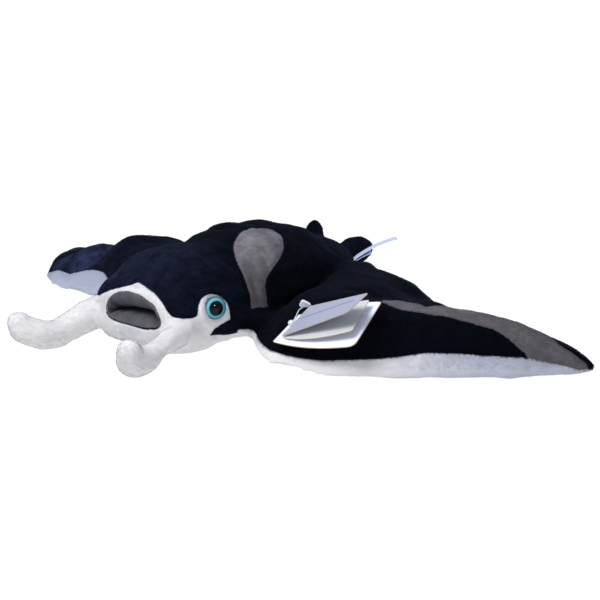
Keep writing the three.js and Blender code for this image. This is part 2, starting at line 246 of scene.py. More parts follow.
def along(stations, place):
    # The smooth, monotone cubic through (place, value) stations, held level past its ends.
    at, value = np.array(stations, float).T
    place = np.clip(place, at[0], at[-1])
    slope = np.diff(value) / np.diff(at)
    before, after = slope[:-1], slope[1:]
    inner = np.where(before * after > 0, 2 * before * after / (before + after + 1e-12), 0)
    tangent = np.concatenate([slope[:1], inner, slope[-1:]])
    i = np.clip(np.searchsorted(at, place, side="right") - 1, 0, len(at) - 2)
    width = at[i + 1] - at[i]
    s = (place - at[i]) / width
    return ((2 * s**3 - 3 * s**2 + 1) * value[i] + (s**3 - 2 * s**2 + s) * width * tangent[i]
            + (3 * s**2 - 2 * s**3) * value[i + 1] + (s**3 - s**2) * width * tangent[i + 1])


def pathPoints(points, t):
    # Points at 0..1 of the smooth (Catmull-Rom) curve through a few points.
    points = np.array(points, float)
    padded = np.vstack([2 * points[0] - points[1], points, 2 * points[-1] - points[-2]])
    place = np.clip(np.asarray(t, float), 0, 1) * (len(points) - 1)
    i = np.minimum(place.astype(int), len(points) - 2)
    s = (place - i)[:, None]
    a, b, c, d = padded[i], padded[i + 1], padded[i + 2], padded[i + 3]
    return 0.5 * (2 * b + (c - a) * s + (2 * a - 5 * b + 4 * c - d) * s**2 + (3 * b - a - 3 * c + d) * s**3)


def unit(vectors):
    return vectors / np.maximum(np.linalg.norm(vectors, axis=-1, keepdims=True), 1e-12)


def lumps(points, size, seed, waves=14):
    # A smooth random field of about -1 to 1: the sum of plane waves in random directions.
    rng = np.random.default_rng(seed)
    direction = unit(rng.normal(size=(waves, 3))) * (2 * np.pi / size) * rng.uniform(0.6, 1.5, (waves, 1))
    return np.sin(points @ direction.T + rng.uniform(0, 2 * np.pi, waves)).sum(1) / math.sqrt(waves)


def gridFaces(rows, columns):
    # Four-sided faces of a grid whose rows follow each other, each with its columns in a closed ring.
    row, column = np.meshgrid(np.arange(rows - 1), np.arange(columns), indexing="ij")
    following = (column + 1) % columns
    corners = [row * columns + column, row * columns + following,
               (row + 1) * columns + following, (row + 1) * columns + column]
    return np.stack(corners, -1).reshape(-1, 4)


def closedLoft(rings):
    # A closed surface through rings of equally many points, its ends closed by fans.
    rings = np.asarray(rings, float)
    rows, columns = rings.shape[:2]
    points = np.vstack([rings.reshape(-1, 3), rings[0].mean(0)[None], rings[-1].mean(0)[None]])
    quads = gridFaces(rows, columns)
    j = np.arange(columns)
    following = (j + 1) % columns
    last = (rows - 1) * columns
    first = np.stack([np.full(columns, rows * columns), following, j, j], -1)
    end = np.stack([np.full(columns, rows * columns + 1), last + j, last + following, last + following], -1)
    return points, np.vstack([quads, first, end])


def joined(shapes):
    # Several (points, faces) as one.
    offsets = np.cumsum([0] + [len(points) for points, _ in shapes[:-1]])
    return np.vstack([p for p, _ in shapes]), np.vstack([f + o for (_, f), o in zip(shapes, offsets)])


def larger(a, b, width):
    # The larger of two fields, rounded over width where they are nearly equal.
    share = np.clip(0.5 + (a - b) / (2 * width), 0, 1)
    return b + (a - b) * share + width * share * (1 - share)


def makeMesh(name, points, faces):
    # Faces are rows of four corners; a row that repeats its last corner is a triangle.
    faces = np.asarray(faces)
    triangle = faces[:, 2] == faces[:, 3]
    counts = np.where(triangle, 3, 4)
    keep = np.ones(faces.shape, bool)
    keep[triangle, 3] = False
    mesh = bpy.data.meshes.new(name)
    mesh.vertices.add(len(points))
    setPoints(mesh, points)
    mesh.loops.add(int(counts.sum()))
    mesh.loops.foreach_set("vertex_index", faces[keep].astype(np.int32))
    mesh.polygons.add(len(faces))
    mesh.polygons.foreach_set("loop_start", np.concatenate([[0], np.cumsum(counts)[:-1]]).astype(np.int32))
    mesh.update(calc_edges=True)
    mesh.validate()
    return mesh


def makeObject(name, mesh, smooth=True):
    obj = bpy.data.objects.new(name, mesh)
    bpy.context.scene.collection.objects.link(obj)
    mesh.polygons.foreach_set("use_smooth", np.full(len(mesh.polygons), smooth))
    return obj


def readRows(items, key, columns, kind=np.float32):
    # One property of all the items of a mesh, a row for each.
    out = np.empty(len(items) * columns, kind)
    items.foreach_get(key, out)
    return out.reshape(-1, columns)


def pointsOf(mesh):
    return readRows(mesh.vertices, "co", 3).astype(float)


def setPoints(mesh, points):
    mesh.vertices.foreach_set("co", np.ascontiguousarray(points, np.float32).ravel())
    mesh.update()


def normalsOf(mesh):
    return readRows(mesh.vertex_normals, "vector", 3).astype(float)


def edgesOf(mesh):
    return readRows(mesh.edges, "vertices", 2, np.int32)


def trianglesOf(mesh, key="vertices"):
    mesh.calc_loop_triangles()
    return readRows(mesh.loop_triangles, key, 3, np.int32)


def addAttribute(mesh, name, values):
    # A number stored on each vertex, for the materials to read.
    mesh.attributes.new(name, "FLOAT", "POINT").data.foreach_set("value", np.asarray(values, np.float32))


def applied(obj):
    # Replaces the object's mesh by what its modifiers make of it.
    depsgraph = bpy.context.evaluated_depsgraph_get()
    mesh = bpy.data.meshes.new_from_object(obj.evaluated_get(depsgraph))
    obj.modifiers.clear()
    old = obj.data
    obj.data = mesh
    bpy.data.meshes.remove(old)
    return obj


def facingOut(mesh):
    # Turns every face of a closed mesh outwards, judged by its signed volume.
    a, b, c = pointsOf(mesh)[trianglesOf(mesh)].transpose(1, 0, 2)
    if (np.cross(a, b) * c).sum() < 0:
        mesh.flip_normals()
    return mesh


def spread(values, edges, count, rounds, share=0.5, weight=1.0):
    # Averages each vertex's values with its neighbours', a few rounds over.
    values = values.copy()
    degree = np.bincount(edges.ravel(), minlength=count)[:, None]
    weight = np.broadcast_to(np.asarray(weight, float).reshape(-1, 1), (count, 1))
    for _ in range(rounds):
        total = np.zeros_like(values)
        for axis in range(values.shape[1]):
            total[:, axis] = (np.bincount(edges[:, 0], values[edges[:, 1], axis], count)
                              + np.bincount(edges[:, 1], values[edges[:, 0], axis], count))
        values += share * weight * (total / np.maximum(degree, 1) - values)
    return values


# The stuffed skin: lofts of body, wings, horns, tail and fins, fused to one sewn surface. Each list
# gives (place, value) stations in millimetres, along Y for the body and out along the span for a wing.
bodyShape = {
    "noseY": -110, "rearY": 80, "rearLevel": 26, "rearReach": 6, "roundTop": 2.25,
    "roundBelly": [(-110, 3.3), (-92, 3.3), (-74, 2.4), (80, 2.6)],
    "halfWidth": [(-110, 36.5), (-104, 40), (-88, 44), (-60, 46), (-20, 46), (20, 43.5), (50, 35), (68, 25),
                  (80, 15)],
    "top": [(-110, 44.5), (-104, 49), (-96, 56), (-86, 60.3), (-66, 60.8), (-52, 62), (-38, 65.2), (-22, 67.7),
            (-12, 66.8), (0, 66), (10, 65), (18, 63), (28, 59.4), (40, 54), (62, 46), (80, 37.5)],
    "widest": [(-110, 24), (-88, 19), (-20, 17), (30, 18), (60, 23), (80, 26)],
    "bottom": [(-110, 5), (-104, 1.5), (-96, 0), (-88, 0), (-66, 1.5), (-40, 0.5), (50, 0), (66, 4), (80, 14)],
    "lipReach": 6, "chinReach": 3,
    "farCheek": {"out": 5.0, "y": -103, "z": 37, "length": 13, "height": 10},
}
mouthShape = {"centre": 2.8, "halfWidth": 23.4, "level": 23.6, "rise": 14.2, "drop": 3.2,
              "widePower": 0.83, "risePower": 0.9, "dropPower": 1.05}
wingShapes = {
    "left": {
        "span": 227,
        "noseLevel": [(6, 5), (227, 5)],
        "front": [(6, -50), (38, -60), (46, -61), (58, -68), (74, -74), (95, -75), (118, -72), (138, -62),
                  (155, -48), (175, -30), (195, -10), (212, 9), (223, 28), (227, 40)],
        "rear": [(6, 76), (38, 77), (60, 70), (96, 62), (130, 56), (170, 51), (205, 47), (220, 45), (227, 42)],
        "topFront": [(6, 12), (38, 15), (46, 22), (60, 32), (75, 37.5), (110, 40), (145, 38), (180, 33),
                     (205, 25), (220, 14), (227, 6)],
        "topBack": [(6, 34), (38, 38), (50, 40), (75, 39.5), (90, 37.8), (101, 34.5), (110, 30.2), (120, 28),
                    (145, 26.5), (165, 26.5), (180, 25), (205, 18.5), (220, 11), (227, 5.5)],
        "liftFront": [(6, 14), (38, 13), (46, 9), (58, 3), (70, 0), (227, 0)],
        "liftRear": [(6, 25), (38, 25), (60, 20), (80, 13), (100, 7), (118, 4), (145, 2), (227, 0)],
        "folds": [],
    },
    "right": {
        "span": 223,
        "noseLevel": [(6, 5), (170, 5), (200, 8), (223, 9)],
        "front": [(6, -50), (46, -60), (58, -58), (80, -52), (110, -45), (136, -42), (160, -43), (178, -43),
                  (192, -38), (203, -26), (212, -11), (219, 4), (223, 14)],
        "rear": [(6, 76), (38, 77), (60, 70), (96, 62), (130, 55), (170, 48), (198, 42), (212, 39), (219, 36),
                 (223, 28)],
        "topFront": [(6, 12), (38, 15), (46, 22), (60, 30), (80, 36), (100, 38.5), (115, 39.3), (130, 36.8),
                     (145, 32.5), (160, 29), (185, 25), (203, 21), (216, 17.5), (223, 13)],
        "topBack": [(6, 34), (38, 38), (50, 40), (80, 38), (104, 36), (130, 32), (160, 24.5), (185, 20),
                    (203, 18), (216, 15), (223, 11)],
        "liftFront": [(6, 14), (38, 13), (46, 9), (58, 3), (70, 1), (150, 1), (176, 2.2), (194, 5),
                      (208, 5.6), (223, 5.4)],
        "liftRear": [(6, 25), (38, 25), (60, 20), (80, 13), (100, 7), (118, 4), (145, 2), (227, 0)],
        "folds": [(126, 10, 6), (150, 8, -4), (168, 8, 3), (186, 8, -2.5)],  # place, width, height
    },
}
tubeShapes = {
    "hornLeft": {"path": [(34, -102, 19.5), (37.5, -114, 18.5), (39, -126, 15), (39.5, -137, 11.4),
                          (40.2, -147.5, 11.6), (42.4, -152.2, 18.6)],
                 "radius": [9, 7.6, 7.2, 8.4, 9.8, 8.0]},
    "hornRight": {"path": [(-30, -96, 23), (-38, -111, 20), (-44, -121, 14.5), (-45, -134, 10),
                           (-46, -146, 10.6), (-51.0, -155.4, 15.6), (-52.8, -158.2, 19.8)],
                  "radius": [11, 10, 9.6, 9.6, 9.6, 8.9, 7.2]},
    "tail": {"path": [(0, 76, 27), (-1, 90, 19), (-4, 106, 9), (-14, 124, 4.8), (-30, 139, 4), (-50, 149, 3.6)],
             "radius": [8, 7, 5.6, 4.8, 4.2, 3.6]},
}
finShapes = {  # centre, radii, and turns about X, Y and Z in degrees
    "shoulderLeft": ((44.5, -57, 17.6), (8.5, 19, 7.8), (0, 0, 0)),
    "shoulderRight": ((-44.5, -57, 17.6), (8.5, 19, 7.8), (0, 0, 0)),
    "dorsal": ((0, 52.5, 50), (4.4, 10.2, 10.4), (-12, 0, 0)),
    "pelvicLeft": ((12, 83, 36), (4.4, 19.2, 10.2), (10, -28, -4)),
    "pelvicRight": ((-14, 86, 24), (11, 17, 4), (-22, 14, 8)),
}


def signedPower(value, power):
    # A power that keeps its value's sign, as a superellipse needs.
    return np.sign(value) * np.abs(value) ** power


def farCheek(y, z):
    # How much further the right side of the head bulges than the left.
    cheek = bodyShape["farCheek"]
    return cheek["out"] * bell(y - cheek["y"], cheek["length"]) * bell(z - cheek["z"], cheek["height"])


def bodyRing(y, a):
    # A ring of the body: half superellipses for the back and the belly, on a common widest level.
    half, level = along(bodyShape["halfWidth"], y), along(bodyShape["widest"], y)
    up, down = along(bodyShape["top"], y) - level, level - along(bodyShape["bottom"], y)
    power = 2 / np.where(np.sin(a) >= 0, bodyShape["roundTop"], along(bodyShape["roundBelly"], y))
    x = half * signedPower(np.cos(a), power)
    z = level + np.where(np.sin(a) >= 0, up, down) * signedPower(np.sin(a), power)
    return x - farCheek(y, z) * np.clip(-x / 20, 0, 1), z


def mouthRing(a, scale=1.0):
    # The mouth's outline, X and Z: a superellipse that rises further than it drops.
    rise = np.where(np.sin(a) >= 0, mouthShape["rise"] * np.abs(np.sin(a)) ** mouthShape["risePower"],
                    -mouthShape["drop"] * np.abs(np.sin(a)) ** mouthShape["dropPower"])
    x = mouthShape["centre"] + mouthShape["halfWidth"] * scale * signedPower(np.cos(a), mouthShape["widePower"])
    return x, mouthShape["level"] + rise * scale


def insideMouth(p):
    # Positive, in rough millimetres, for skin turned in behind the lips.
    across = np.abs(p[:, 0] - mouthShape["centre"]) / mouthShape["halfWidth"]
    above = p[:, 2] - mouthShape["level"]
    up = np.abs(above) / np.where(above > 0, mouthShape["rise"], mouthShape["drop"] + 1)
    ring = (across**2.3 + up**2.2) ** (1 / 2.25)
    return np.minimum.reduce([(1.02 - ring) * 16, p[:, 1] + 117.4, -92 - p[:, 1]])


def bodyLoft(sides=140, rings=110):
    # The body's rings from the rear to the nose, with both ends turned in along quarter rounds.
    a = np.linspace(0, 2 * np.pi, sides, endpoint=False)
    rearY, noseY, level = bodyShape["rearY"], bodyShape["noseY"], bodyShape["rearLevel"]
    out = []
    x, z = bodyRing(rearY, a)
    for turn in np.linspace(0.15, 0.95, 5) * np.pi / 2:  # the rear closes as a quarter round
        out.append(np.stack([x * math.sin(turn), 0 * a + rearY + bodyShape["rearReach"] * math.cos(turn),
                             level + (z - level) * math.sin(turn)], -1))
    for y in np.linspace(rearY, noseY, rings):
        x, z = bodyRing(y, a)
        out.append(np.stack([x, 0 * a + y, z], -1))
    outerX, outerZ = bodyRing(noseY, a)
    innerX, innerZ = mouthRing(a)
    reach = bodyShape["lipReach"] + bodyShape["chinReach"] * np.clip(-np.sin(a), 0, 1)
    for turn in np.linspace(0.1, 1, 10) * np.pi / 2:  # the lip turns in to the mouth
        share = 1 - math.cos(turn)
        out.append(np.stack([outerX + (innerX - outerX) * share, noseY - reach * math.sin(turn),
                             outerZ + (innerZ - outerZ) * share], -1))
    return closedLoft(out)


def pocketLoft(sides=120):
    # The hollow that the mouth cuts out of the head: the mouth's outline, narrowing inwards.
    a = np.linspace(0, 2 * np.pi, sides, endpoint=False)
    noseY = bodyShape["noseY"]
    steps = [(noseY - 14, 1.0), (noseY - 4, 0.99), (noseY + 2, 0.97), (noseY + 9, 0.92), (noseY + 13, 0.8)]
    rings = []
    for y, scale in steps:
        x, z = mouthRing(a, scale)
        rings.append(np.stack([x, 0 * a + y, z], -1))
    return closedLoft(rings)


# A wing's section, in shares of its chord: where the crown passes from the front level to the back
# one, how long the nose and the rear edge are, and how the folds fade out to both.
wingSection = {"root": 6, "tip": 27, "crown": (0.3, 0.45), "nose": 0.36, "edge": 0.2, "roundness": 2.2,
               "foldFade": (0.25, 0.3), "topPower": 0.7, "bottomPower": 0.4}


def wingEdges(wing, x):
    # Where a wing starts and ends along Y, and its lower and upper levels at both edges, x along the span.
    return [along(wing[key], x) for key in ("front", "rear", "liftFront", "liftRear", "topFront", "topBack")]


def wingLoft(wing, mirror, sides=120, rings=150):
    # Rings along the span, each from the front edge over the crown to the rear edge and back under.
    tip, roundness = wingSection["tip"], wingSection["roundness"]
    inner = wing["span"] - tip
    x = np.concatenate([np.linspace(wingSection["root"], inner, rings),
                        inner + tip * np.sin(np.linspace(0, 1, 18)[1:] * np.pi / 2)])[:, None]
    a = np.linspace(0, 2 * np.pi, sides, endpoint=False)[None]
    front, rear, liftFront, liftRear, topFront, topBack = wingEdges(wing, x)
    chord = (1 - np.cos(a)) / 2
    start, length = wingSection["crown"]
    crest = topFront + (topBack - topFront) * ease((chord - start) / length)
    nose = np.sqrt(1 - (1 - np.clip(chord / wingSection["nose"], 0, 1)) ** roundness)
    edge = wingSection["edge"]
    close = np.sqrt(1 - np.clip((chord - (1 - edge)) / edge, 0, 1) ** roundness)
    frontFade, rearFade = wingSection["foldFade"]
    fade = np.clip(chord / frontFade, 0, 1) * np.clip((1 - chord) / rearFade, 0, 1)
    fold = sum((height * bell(x - place, width) for place, width, height in wing["folds"]), 0 * x)
    top = liftRear + (liftFront + (crest - liftFront) * nose + fold * fade - liftRear) * close
    bottom = liftFront * (1 - chord) ** 2 + 0.9 * liftRear * chord**3
    nosed = liftFront + along(wing["noseLevel"], x)
    middle = np.minimum(nosed * (1 - chord) + (liftRear + 2) * chord, (top + bottom) / 2)
    rise = np.where(np.sin(a) >= 0, (top - middle) * np.abs(np.sin(a)) ** wingSection["topPower"],
                    (bottom - middle) * np.abs(np.sin(a)) ** wingSection["bottomPower"])
    rings = np.stack([mirror * x + 0 * a, front + (rear - front) * chord, middle + rise], -1)
    return closedLoft(rings if mirror > 0 else rings[:, ::-1])


def tubeLoft(shape, rows=70, sides=48):
    # A round section of changing radius carried along the path, with a rounded end.
    t = np.linspace(0, 1, rows)
    centre = pathPoints(shape["path"], t)
    ahead = unit(np.gradient(centre, axis=0))
    radius = along(list(zip(np.linspace(0, 1, len(shape["radius"])), shape["radius"])), t)
    turn = np.linspace(0.08, 0.97, 9) * np.pi / 2
    centre = np.vstack([centre, centre[-1] + ahead[-1] * (radius[-1] * np.sin(turn))[:, None]])
    radius = np.concatenate([radius, radius[-1] * np.cos(turn)])
    ahead = np.vstack([ahead, np.repeat(ahead[-1:], len(turn), 0)])
    across = unit(np.cross(ahead, [0, 0, 1]))
    up = np.cross(across, ahead)
    a = np.linspace(0, 2 * np.pi, sides, endpoint=False)[None, :, None]
    spokes = across[:, None] * np.cos(a) + up[:, None] * np.sin(a)
    return closedLoft(centre[:, None] + radius[:, None, None] * spokes)


def turned(points, degrees):
    # Turns points about X, then Y, then Z.
    for axis, angle in enumerate(np.radians(degrees)):
        c, s = math.cos(angle), math.sin(angle)
        i, j = (axis + 1) % 3, (axis + 2) % 3
        first, second = points[..., i].copy(), points[..., j].copy()
        points[..., i], points[..., j] = c * first - s * second, s * first + c * second
    return points


def finLoft(centre, radii, degrees, rows=40, sides=48):
    # An ellipsoid: a ball's rings from pole to pole, scaled to the radii, turned and moved to the centre.
    polar = np.linspace(0.03, 0.97, rows)[:, None] * np.pi
    a = np.linspace(0, 2 * np.pi, sides, endpoint=False)[None]
    ball = np.stack([np.sin(polar) * np.cos(a), np.sin(polar) * np.sin(a), np.cos(polar) + 0 * a], -1)
    return closedLoft(turned(ball * np.array(radii), degrees) + np.array(centre))


# The voxel and moves in millimetres, and how many rounds the white edges are smoothed.
skinBuild = {"voxel": 1.25, "rounding": 10, "settle": 0.8, "pile": 0.45, "rest": 0.35}


def voxelRemesh(obj, size):
    remesh = obj.modifiers.new("remesh", "REMESH")
    remesh.mode = "VOXEL"
    remesh.voxel_size = size * mm
    return applied(obj)


def fuseSkin():
    # Joins the lofts, turns them into one surface by voxels, and cuts the mouth's pocket out of it.
    shapes = [bodyLoft(), wingLoft(wingShapes["left"], 1), wingLoft(wingShapes["right"], -1)]
    shapes += [tubeLoft(shape) for shape in tubeShapes.values()]
    shapes += [finLoft(*shape) for shape in finShapes.values()]
    parts = []
    for points, faces in shapes:
        mesh = facingOut(makeMesh("part", placeOf(points), faces))
        parts.append(makeObject("part", mesh))
    skin = parts[0]
    with bpy.context.temp_override(active_object=skin, selected_editable_objects=parts):
        bpy.ops.object.join()
    skin.name = "plush_skin"
    voxelRemesh(skin, skinBuild["voxel"])
    points, faces = pocketLoft()
    pocket = makeObject("pocket", facingOut(makeMesh("pocket", placeOf(points), faces)))
    cut = skin.modifiers.new("pocket", "BOOLEAN")
    cut.operation = "DIFFERENCE"
    cut.object = pocket
    cut.solver = "EXACT"
    applied(skin)
    bpy.data.objects.remove(pocket)
    return voxelRemesh(skin, skinBuild["voxel"])


# Panels are signed distances in millimetres, positive inside the panel.
panels = {
    "lipArch": [(-44, 32), (-31.6, 32.3), (-24.4, 35.3), (-18, 38), (-11.3, 40.7), (-6, 42.8), (-2.6, 44.2),
                (0.5, 45.5), (7, 44.7), (13.7, 43.3), (20.4, 41.3), (25.6, 38.6), (29, 35.8), (32, 32.6),
                (34.9, 29.9), (38.9, 28.3), (44, 27)],
    "eye": {"y": -86.2, "z": 29.6, "halfLength": 10.9, "halfHeight": 9.9, "fillet": 4},
    "cheekEnd": -90,  # how far back the white round the mouth reaches
    "stripTop": [(-96, 12), (-90.1, 15.4), (-87.3, 18.6), (-83.4, 20.6), (-78.1, 22.2), (-73.2, 24)],
    "bellySeam": [(-120, 14.8), (-90, 15.0), (-82, 13.7), (-74, 12.6), (-68, 14.6), (-62, 15.6),
                  (-50, 14.2), (50, 13.5), (66, 17), (80, 22)],
    "patchFront": [(12, -58), (20.4, -56), (33.6, -55.4), (40.6, -54.5), (48.5, -52), (55.2, -48.5),
                   (61, -43.6), (65.6, -37.2), (69, -29), (72, -16)],
    "patchRear": [(12, -42), (18.6, -41.5), (25.9, -40.5), (30.2, -38.2), (35.1, -32), (40.2, -21.8),
                  (46.4, -13), (51.6, -8.6), (57, -5), (62.1, -4.9), (67.3, -6.9), (70.4, -10.5), (72, -16)],
    "patchTop": 72,  # how far round the back the body's patch reaches, as an angle times patchScale
    "patchScale": 0.87,
    "rightPatch": 1.22,  # the right side's patch is this much shorter
    "band": {"left": [(46, 16), (50, 16), (53, 13.5), (57, 11), (62, 9.8), (70, 9), (77.5, 8.4), (94, 8.6),
                      (112.6, 10), (134.6, 12.2), (149.6, 13.9), (164.3, 16.1), (175.5, 15.7), (184, 15),
                      (203, 13.1), (216, 8.8), (224.5, 3.4), (228, 2)],
             "right": [(46, 14), (60, 15), (90, 16), (110, 15), (120.7, 17.5), (128.6, 19.7), (139, 19.1),
                       (149.7, 17.2), (164.5, 14), (176.5, 14.2), (190, 11), (205, 9), (221, 5)]},
    "wingPatchFront": [(122, -27), (130.5, -27.8), (137.6, -27.5), (147.9, -22), (168.7, -11.5),
                       (189.3, -1.2), (200.5, 2.7), (203.7, 4.1), (208, 0), (214, -10)],
    "wingPatchRear": [(122, -27), (124, -16), (127, -4), (132, 14), (140, 30), (152, 39), (170, 41), (190, 39),
                      (203, 34), (213, 25.6), (218, 27.5), (222.6, 31.5), (226, 37)],
    "wingPatchStart": 122,
    "wingPatchShift": {"left": 0, "right": 34},
    "wingPatchEnd": {"left": 240, "right": 204},
}


def pastCurve(value, stations, t):
    # How far value lies beyond the curve at t, measured square to the curve.
    slope = along(stations, t + 0.5) - along(stations, t - 0.5)
    return (value - along(stations, t)) / np.sqrt(1 + slope**2)


def outsideBody(p):
    # Roughly how far a point lies outside the body's own surface.
    half, level = along(bodyShape["halfWidth"], p[:, 1]), along(bodyShape["widest"], p[:, 1])
    up, down = along(bodyShape["top"], p[:, 1]) - level, level - along(bodyShape["bottom"], p[:, 1])
    height = np.where(p[:, 2] >= level, up, down)
    power = np.where(p[:, 2] >= level, bodyShape["roundTop"], along(bodyShape["roundBelly"], p[:, 1]))
    x = p[:, 0] + farCheek(p[:, 1], p[:, 2]) * np.clip(-p[:, 0] / 25, 0, 1)
    size = (np.abs(x / half) ** power + np.abs((p[:, 2] - level) / height) ** power) ** (1 / power)
    return (size - 1) * np.minimum(half, height)


def bodyPanels(p):
    # White: above the lip's arch, round the eye, below the belly's seam, but not in the strip behind the
    # eye. Grey: the shoulder's patch, between two curves of the angle round the back.
    x, y, z = np.abs(p[:, 0]), p[:, 1], p[:, 2]
    eye = panels["eye"]
    strip = np.minimum.reduce([along(panels["stripTop"], y) - z, z - along(panels["bellySeam"], y), y + 96])
    lip = np.minimum(-pastCurve(z, panels["lipArch"], p[:, 0]), panels["cheekEnd"] - y)
    oval = (1 - np.hypot((y - eye["y"]) / eye["halfLength"], (z - eye["z"]) / eye["halfHeight"]))
    below = np.minimum(eye["halfLength"] - np.abs(y - eye["y"]), eye["z"] - z)
    onSide = np.where(x > 20, np.maximum(oval * eye["halfHeight"], below), -9)
    belly = along(panels["bellySeam"], y) - z
    white = np.maximum(larger(lip, onSide, eye["fillet"]), belly)
    white = np.minimum(white, np.where(x > 30, -strip, 9))
    shorter = np.where(p[:, 0] < 0, panels["rightPatch"], 1)
    around = np.degrees(np.arctan2(z - 12, x)) * panels["patchScale"] * shorter
    grey = np.minimum(pastCurve(y, panels["patchFront"], around), -pastCurve(y, panels["patchRear"], around))
    return white, np.minimum(grey, panels["patchTop"] - around)


def wingPanels(p, side):
    # White: below a seam that runs from the front band to the rear edge. Grey: between two curves.
    x, y, z = np.abs(p[:, 0]), p[:, 1], p[:, 2]
    front, rear, liftFront, liftRear, _, _ = wingEdges(wingShapes[side], x)
    chord = np.clip((y - front) / np.maximum(rear - front, 1), 0, 1)
    band = along(panels["band"][side], x)
    seam = band + (liftRear + 2 - band) * ease(chord * 1.4 - 0.2)
    shifted = y - panels["wingPatchShift"][side]
    grey = np.minimum.reduce([pastCurve(shifted, panels["wingPatchFront"], x),
                              -pastCurve(shifted, panels["wingPatchRear"], x),
                              x - panels["wingPatchStart"], panels["wingPatchEnd"][side] - x])
    return seam - z, grey


def panelDistances(p):
    # Each point takes the body's or its wing's panels; the horns are white, and the tail and fins black.
    outside = outsideBody(p)
    onWing = (outside > 0.9) & (p[:, 1] > -78) & (p[:, 1] < 84) & (np.abs(p[:, 0]) > 20)
    horn = (outside > 0.6) & (p[:, 1] < -88) & (np.abs(p[:, 0]) > 22) & (p[:, 2] < 33)
    rear = (p[:, 1] > 66) & (np.abs(p[:, 0]) < 36) & (outside > 0.6) | (p[:, 1] > 87)
    white, grey = bodyPanels(p)
    for side, mirror in (("left", 1), ("right", -1)):
        wingWhite, wingGrey = wingPanels(p, side)
        here = onWing & (p[:, 0] * mirror > 0)
        white = np.where(here, wingWhite, white)
        grey = np.where(here, wingGrey, grey)
    white = np.where(horn, 8.0, white)
    white = np.where(rear, -5.0, white)
    grey = np.where(horn | rear, -8.0, grey)
    return white, grey


# Creases, puckers and lumps are moves along the normal, in millimetres.
creases = {  # path on the skin, depth (a ridge where negative), width
    "wingRoot": ([(96, -33, 36), (83.4, -5.6, 36), (71, 18, 36), (59.4, 38.6, 35)], 0.9, 2.6),
    "forehead": ([(24, -84, 55), (21, -68, 59.5), (20, -50, 61), (16, -34, 64)], 0.5, 3.0),
    "brow": ([(31, -90, 47), (30, -70, 53), (31, -55, 53.5)], 0.35, 3.5),
    "patch": ([(18, -52, 62.5), (22, -44, 61.3), (25, -34, 60)], 0.55, 1.6),
    "dimple": ([(-6, -32, 68), (0, -27, 68), (6, -24, 68)], 1.3, 4.5),
    "bump": ([(-16, -28, 66), (-13, -20, 67)], -1.2, 6.0),
    "lipRise": ([(3, -112, 43), (2.5, -104, 50), (2, -92, 58.5)], 0.45, 1.3),
    "farOuter": ([(-167, -36, 15), (-166.6, -28.5, 22.6), (-162, -20, 27.6), (-158, -4, 28.3)], 2.4, 3.6),
    "farMiddle": ([(-154.5, -29, 18), (-150.6, -17.5, 24.6), (-140, -10, 30), (-128, -4, 38)], 1.5, 3.6),
    "farInner": ([(-150, -24.6, 21), (-129, -23, 33), (-117, -16, 38)], 1.0, 3.0),
    "tailLeft": ([(16, 44, 51), (25, 50, 43), (31, 50, 35)], 0.9, 1.9),
    "tailInner": ([(12, 52, 50), (21, 58, 42), (26, 61, 34)], 0.9, 1.9),
    "tailOuter": ([(20, 35, 53), (30, 41, 45), (36, 43, 37)], 0.6, 2.2),
}
surface = {"lumps": [(5, 0.55, 34), (6, 0.22, 13)],  # seed, height, size
           "seam": (0.6, 1.2), "pleat": 0.2, "eyeSink": 1.0, "eyeRim": 0.9}


def nearPath(points, path, steps=60):
    # The distance of each point from the nearest of some points along the path.
    line = pathPoints(path, np.linspace(0, 1, steps))
    nearest = np.full(len(points), 1e9)
    for start in range(0, len(points), 40000):
        block = points[start:start + 40000]
        nearest[start:start + 40000] = np.sqrt(((block[:, None] - line[None]) ** 2).sum(2).min(1))
    return nearest


def wrinkles(p, white, grey):
    # The sum of lumps, drawn-in seams, sewn folds, wing-root pleats and the rise round each eye.
    x, y, z = np.abs(p[:, 0]), p[:, 1], p[:, 2]
    outside = outsideBody(p)
    move = sum(height * lumps(p, size, seed) for seed, height, size in surface["lumps"])
    depth, width = surface["seam"]
    move -= depth * bell(np.minimum(np.abs(white), np.abs(grey)), width)
    for path, height, spreadWidth in creases.values():
        move -= height * bell(nearPath(p, path), spreadWidth)
    root = np.where((y > -62) & (y < 76), np.abs(outside), 30)
    pleats = np.sin(y * 0.5 + 2.2 * lumps(p, 60, 9)) * bell(root - 5, 6)
    move += surface["pleat"] * pleats * (x > 30)
    for mirror in (1, -1):
        centre, out, _, _ = eyeFrame(mirror)
        apart = p - centre
        beside = np.linalg.norm(apart - (apart @ out)[:, None] * out, axis=1)
        near = np.abs(apart @ out) < 9
        move += near * (surface["eyeRim"] * bell(beside - 9.6, 2.2) - surface["eyeSink"] * bell(beside, 6))
    return move


def taubin(points, edges, count, rounds):
    # Each smoothing round is followed by one that puts the volume back.
    for _ in range(rounds):
        points = spread(points, edges, count, 1, 0.5)
        points = spread(points, edges, count, 1, -0.53)
    return points


def roughSkin():
    # The fused surface, smoothed all over and then more at the roots of the horns and the shoulders.
    skin = fuseSkin()
    mesh = skin.data
    edges, count = edgesOf(mesh), len(mesh.vertices)
    points = taubin(fromPlace(pointsOf(mesh)), edges, count, 4)
    hornRoot = (points[:, 1] < -88) & (points[:, 2] < 40) & (np.abs(points[:, 0]) > 26)
    points = spread(points, edges, count, 14, weight=bell(outsideBody(points) - 1.0, 5.0) * hornRoot)
    shoulder = (np.abs(points[:, 0]) > 38) & (np.abs(points[:, 1] + 58) < 30)
    points = spread(points, edges, count, 40, weight=bell(outsideBody(points) - 2.0, 7.0) * shoulder)
    setPoints(mesh, placeOf(points))
    return skin, points, edges


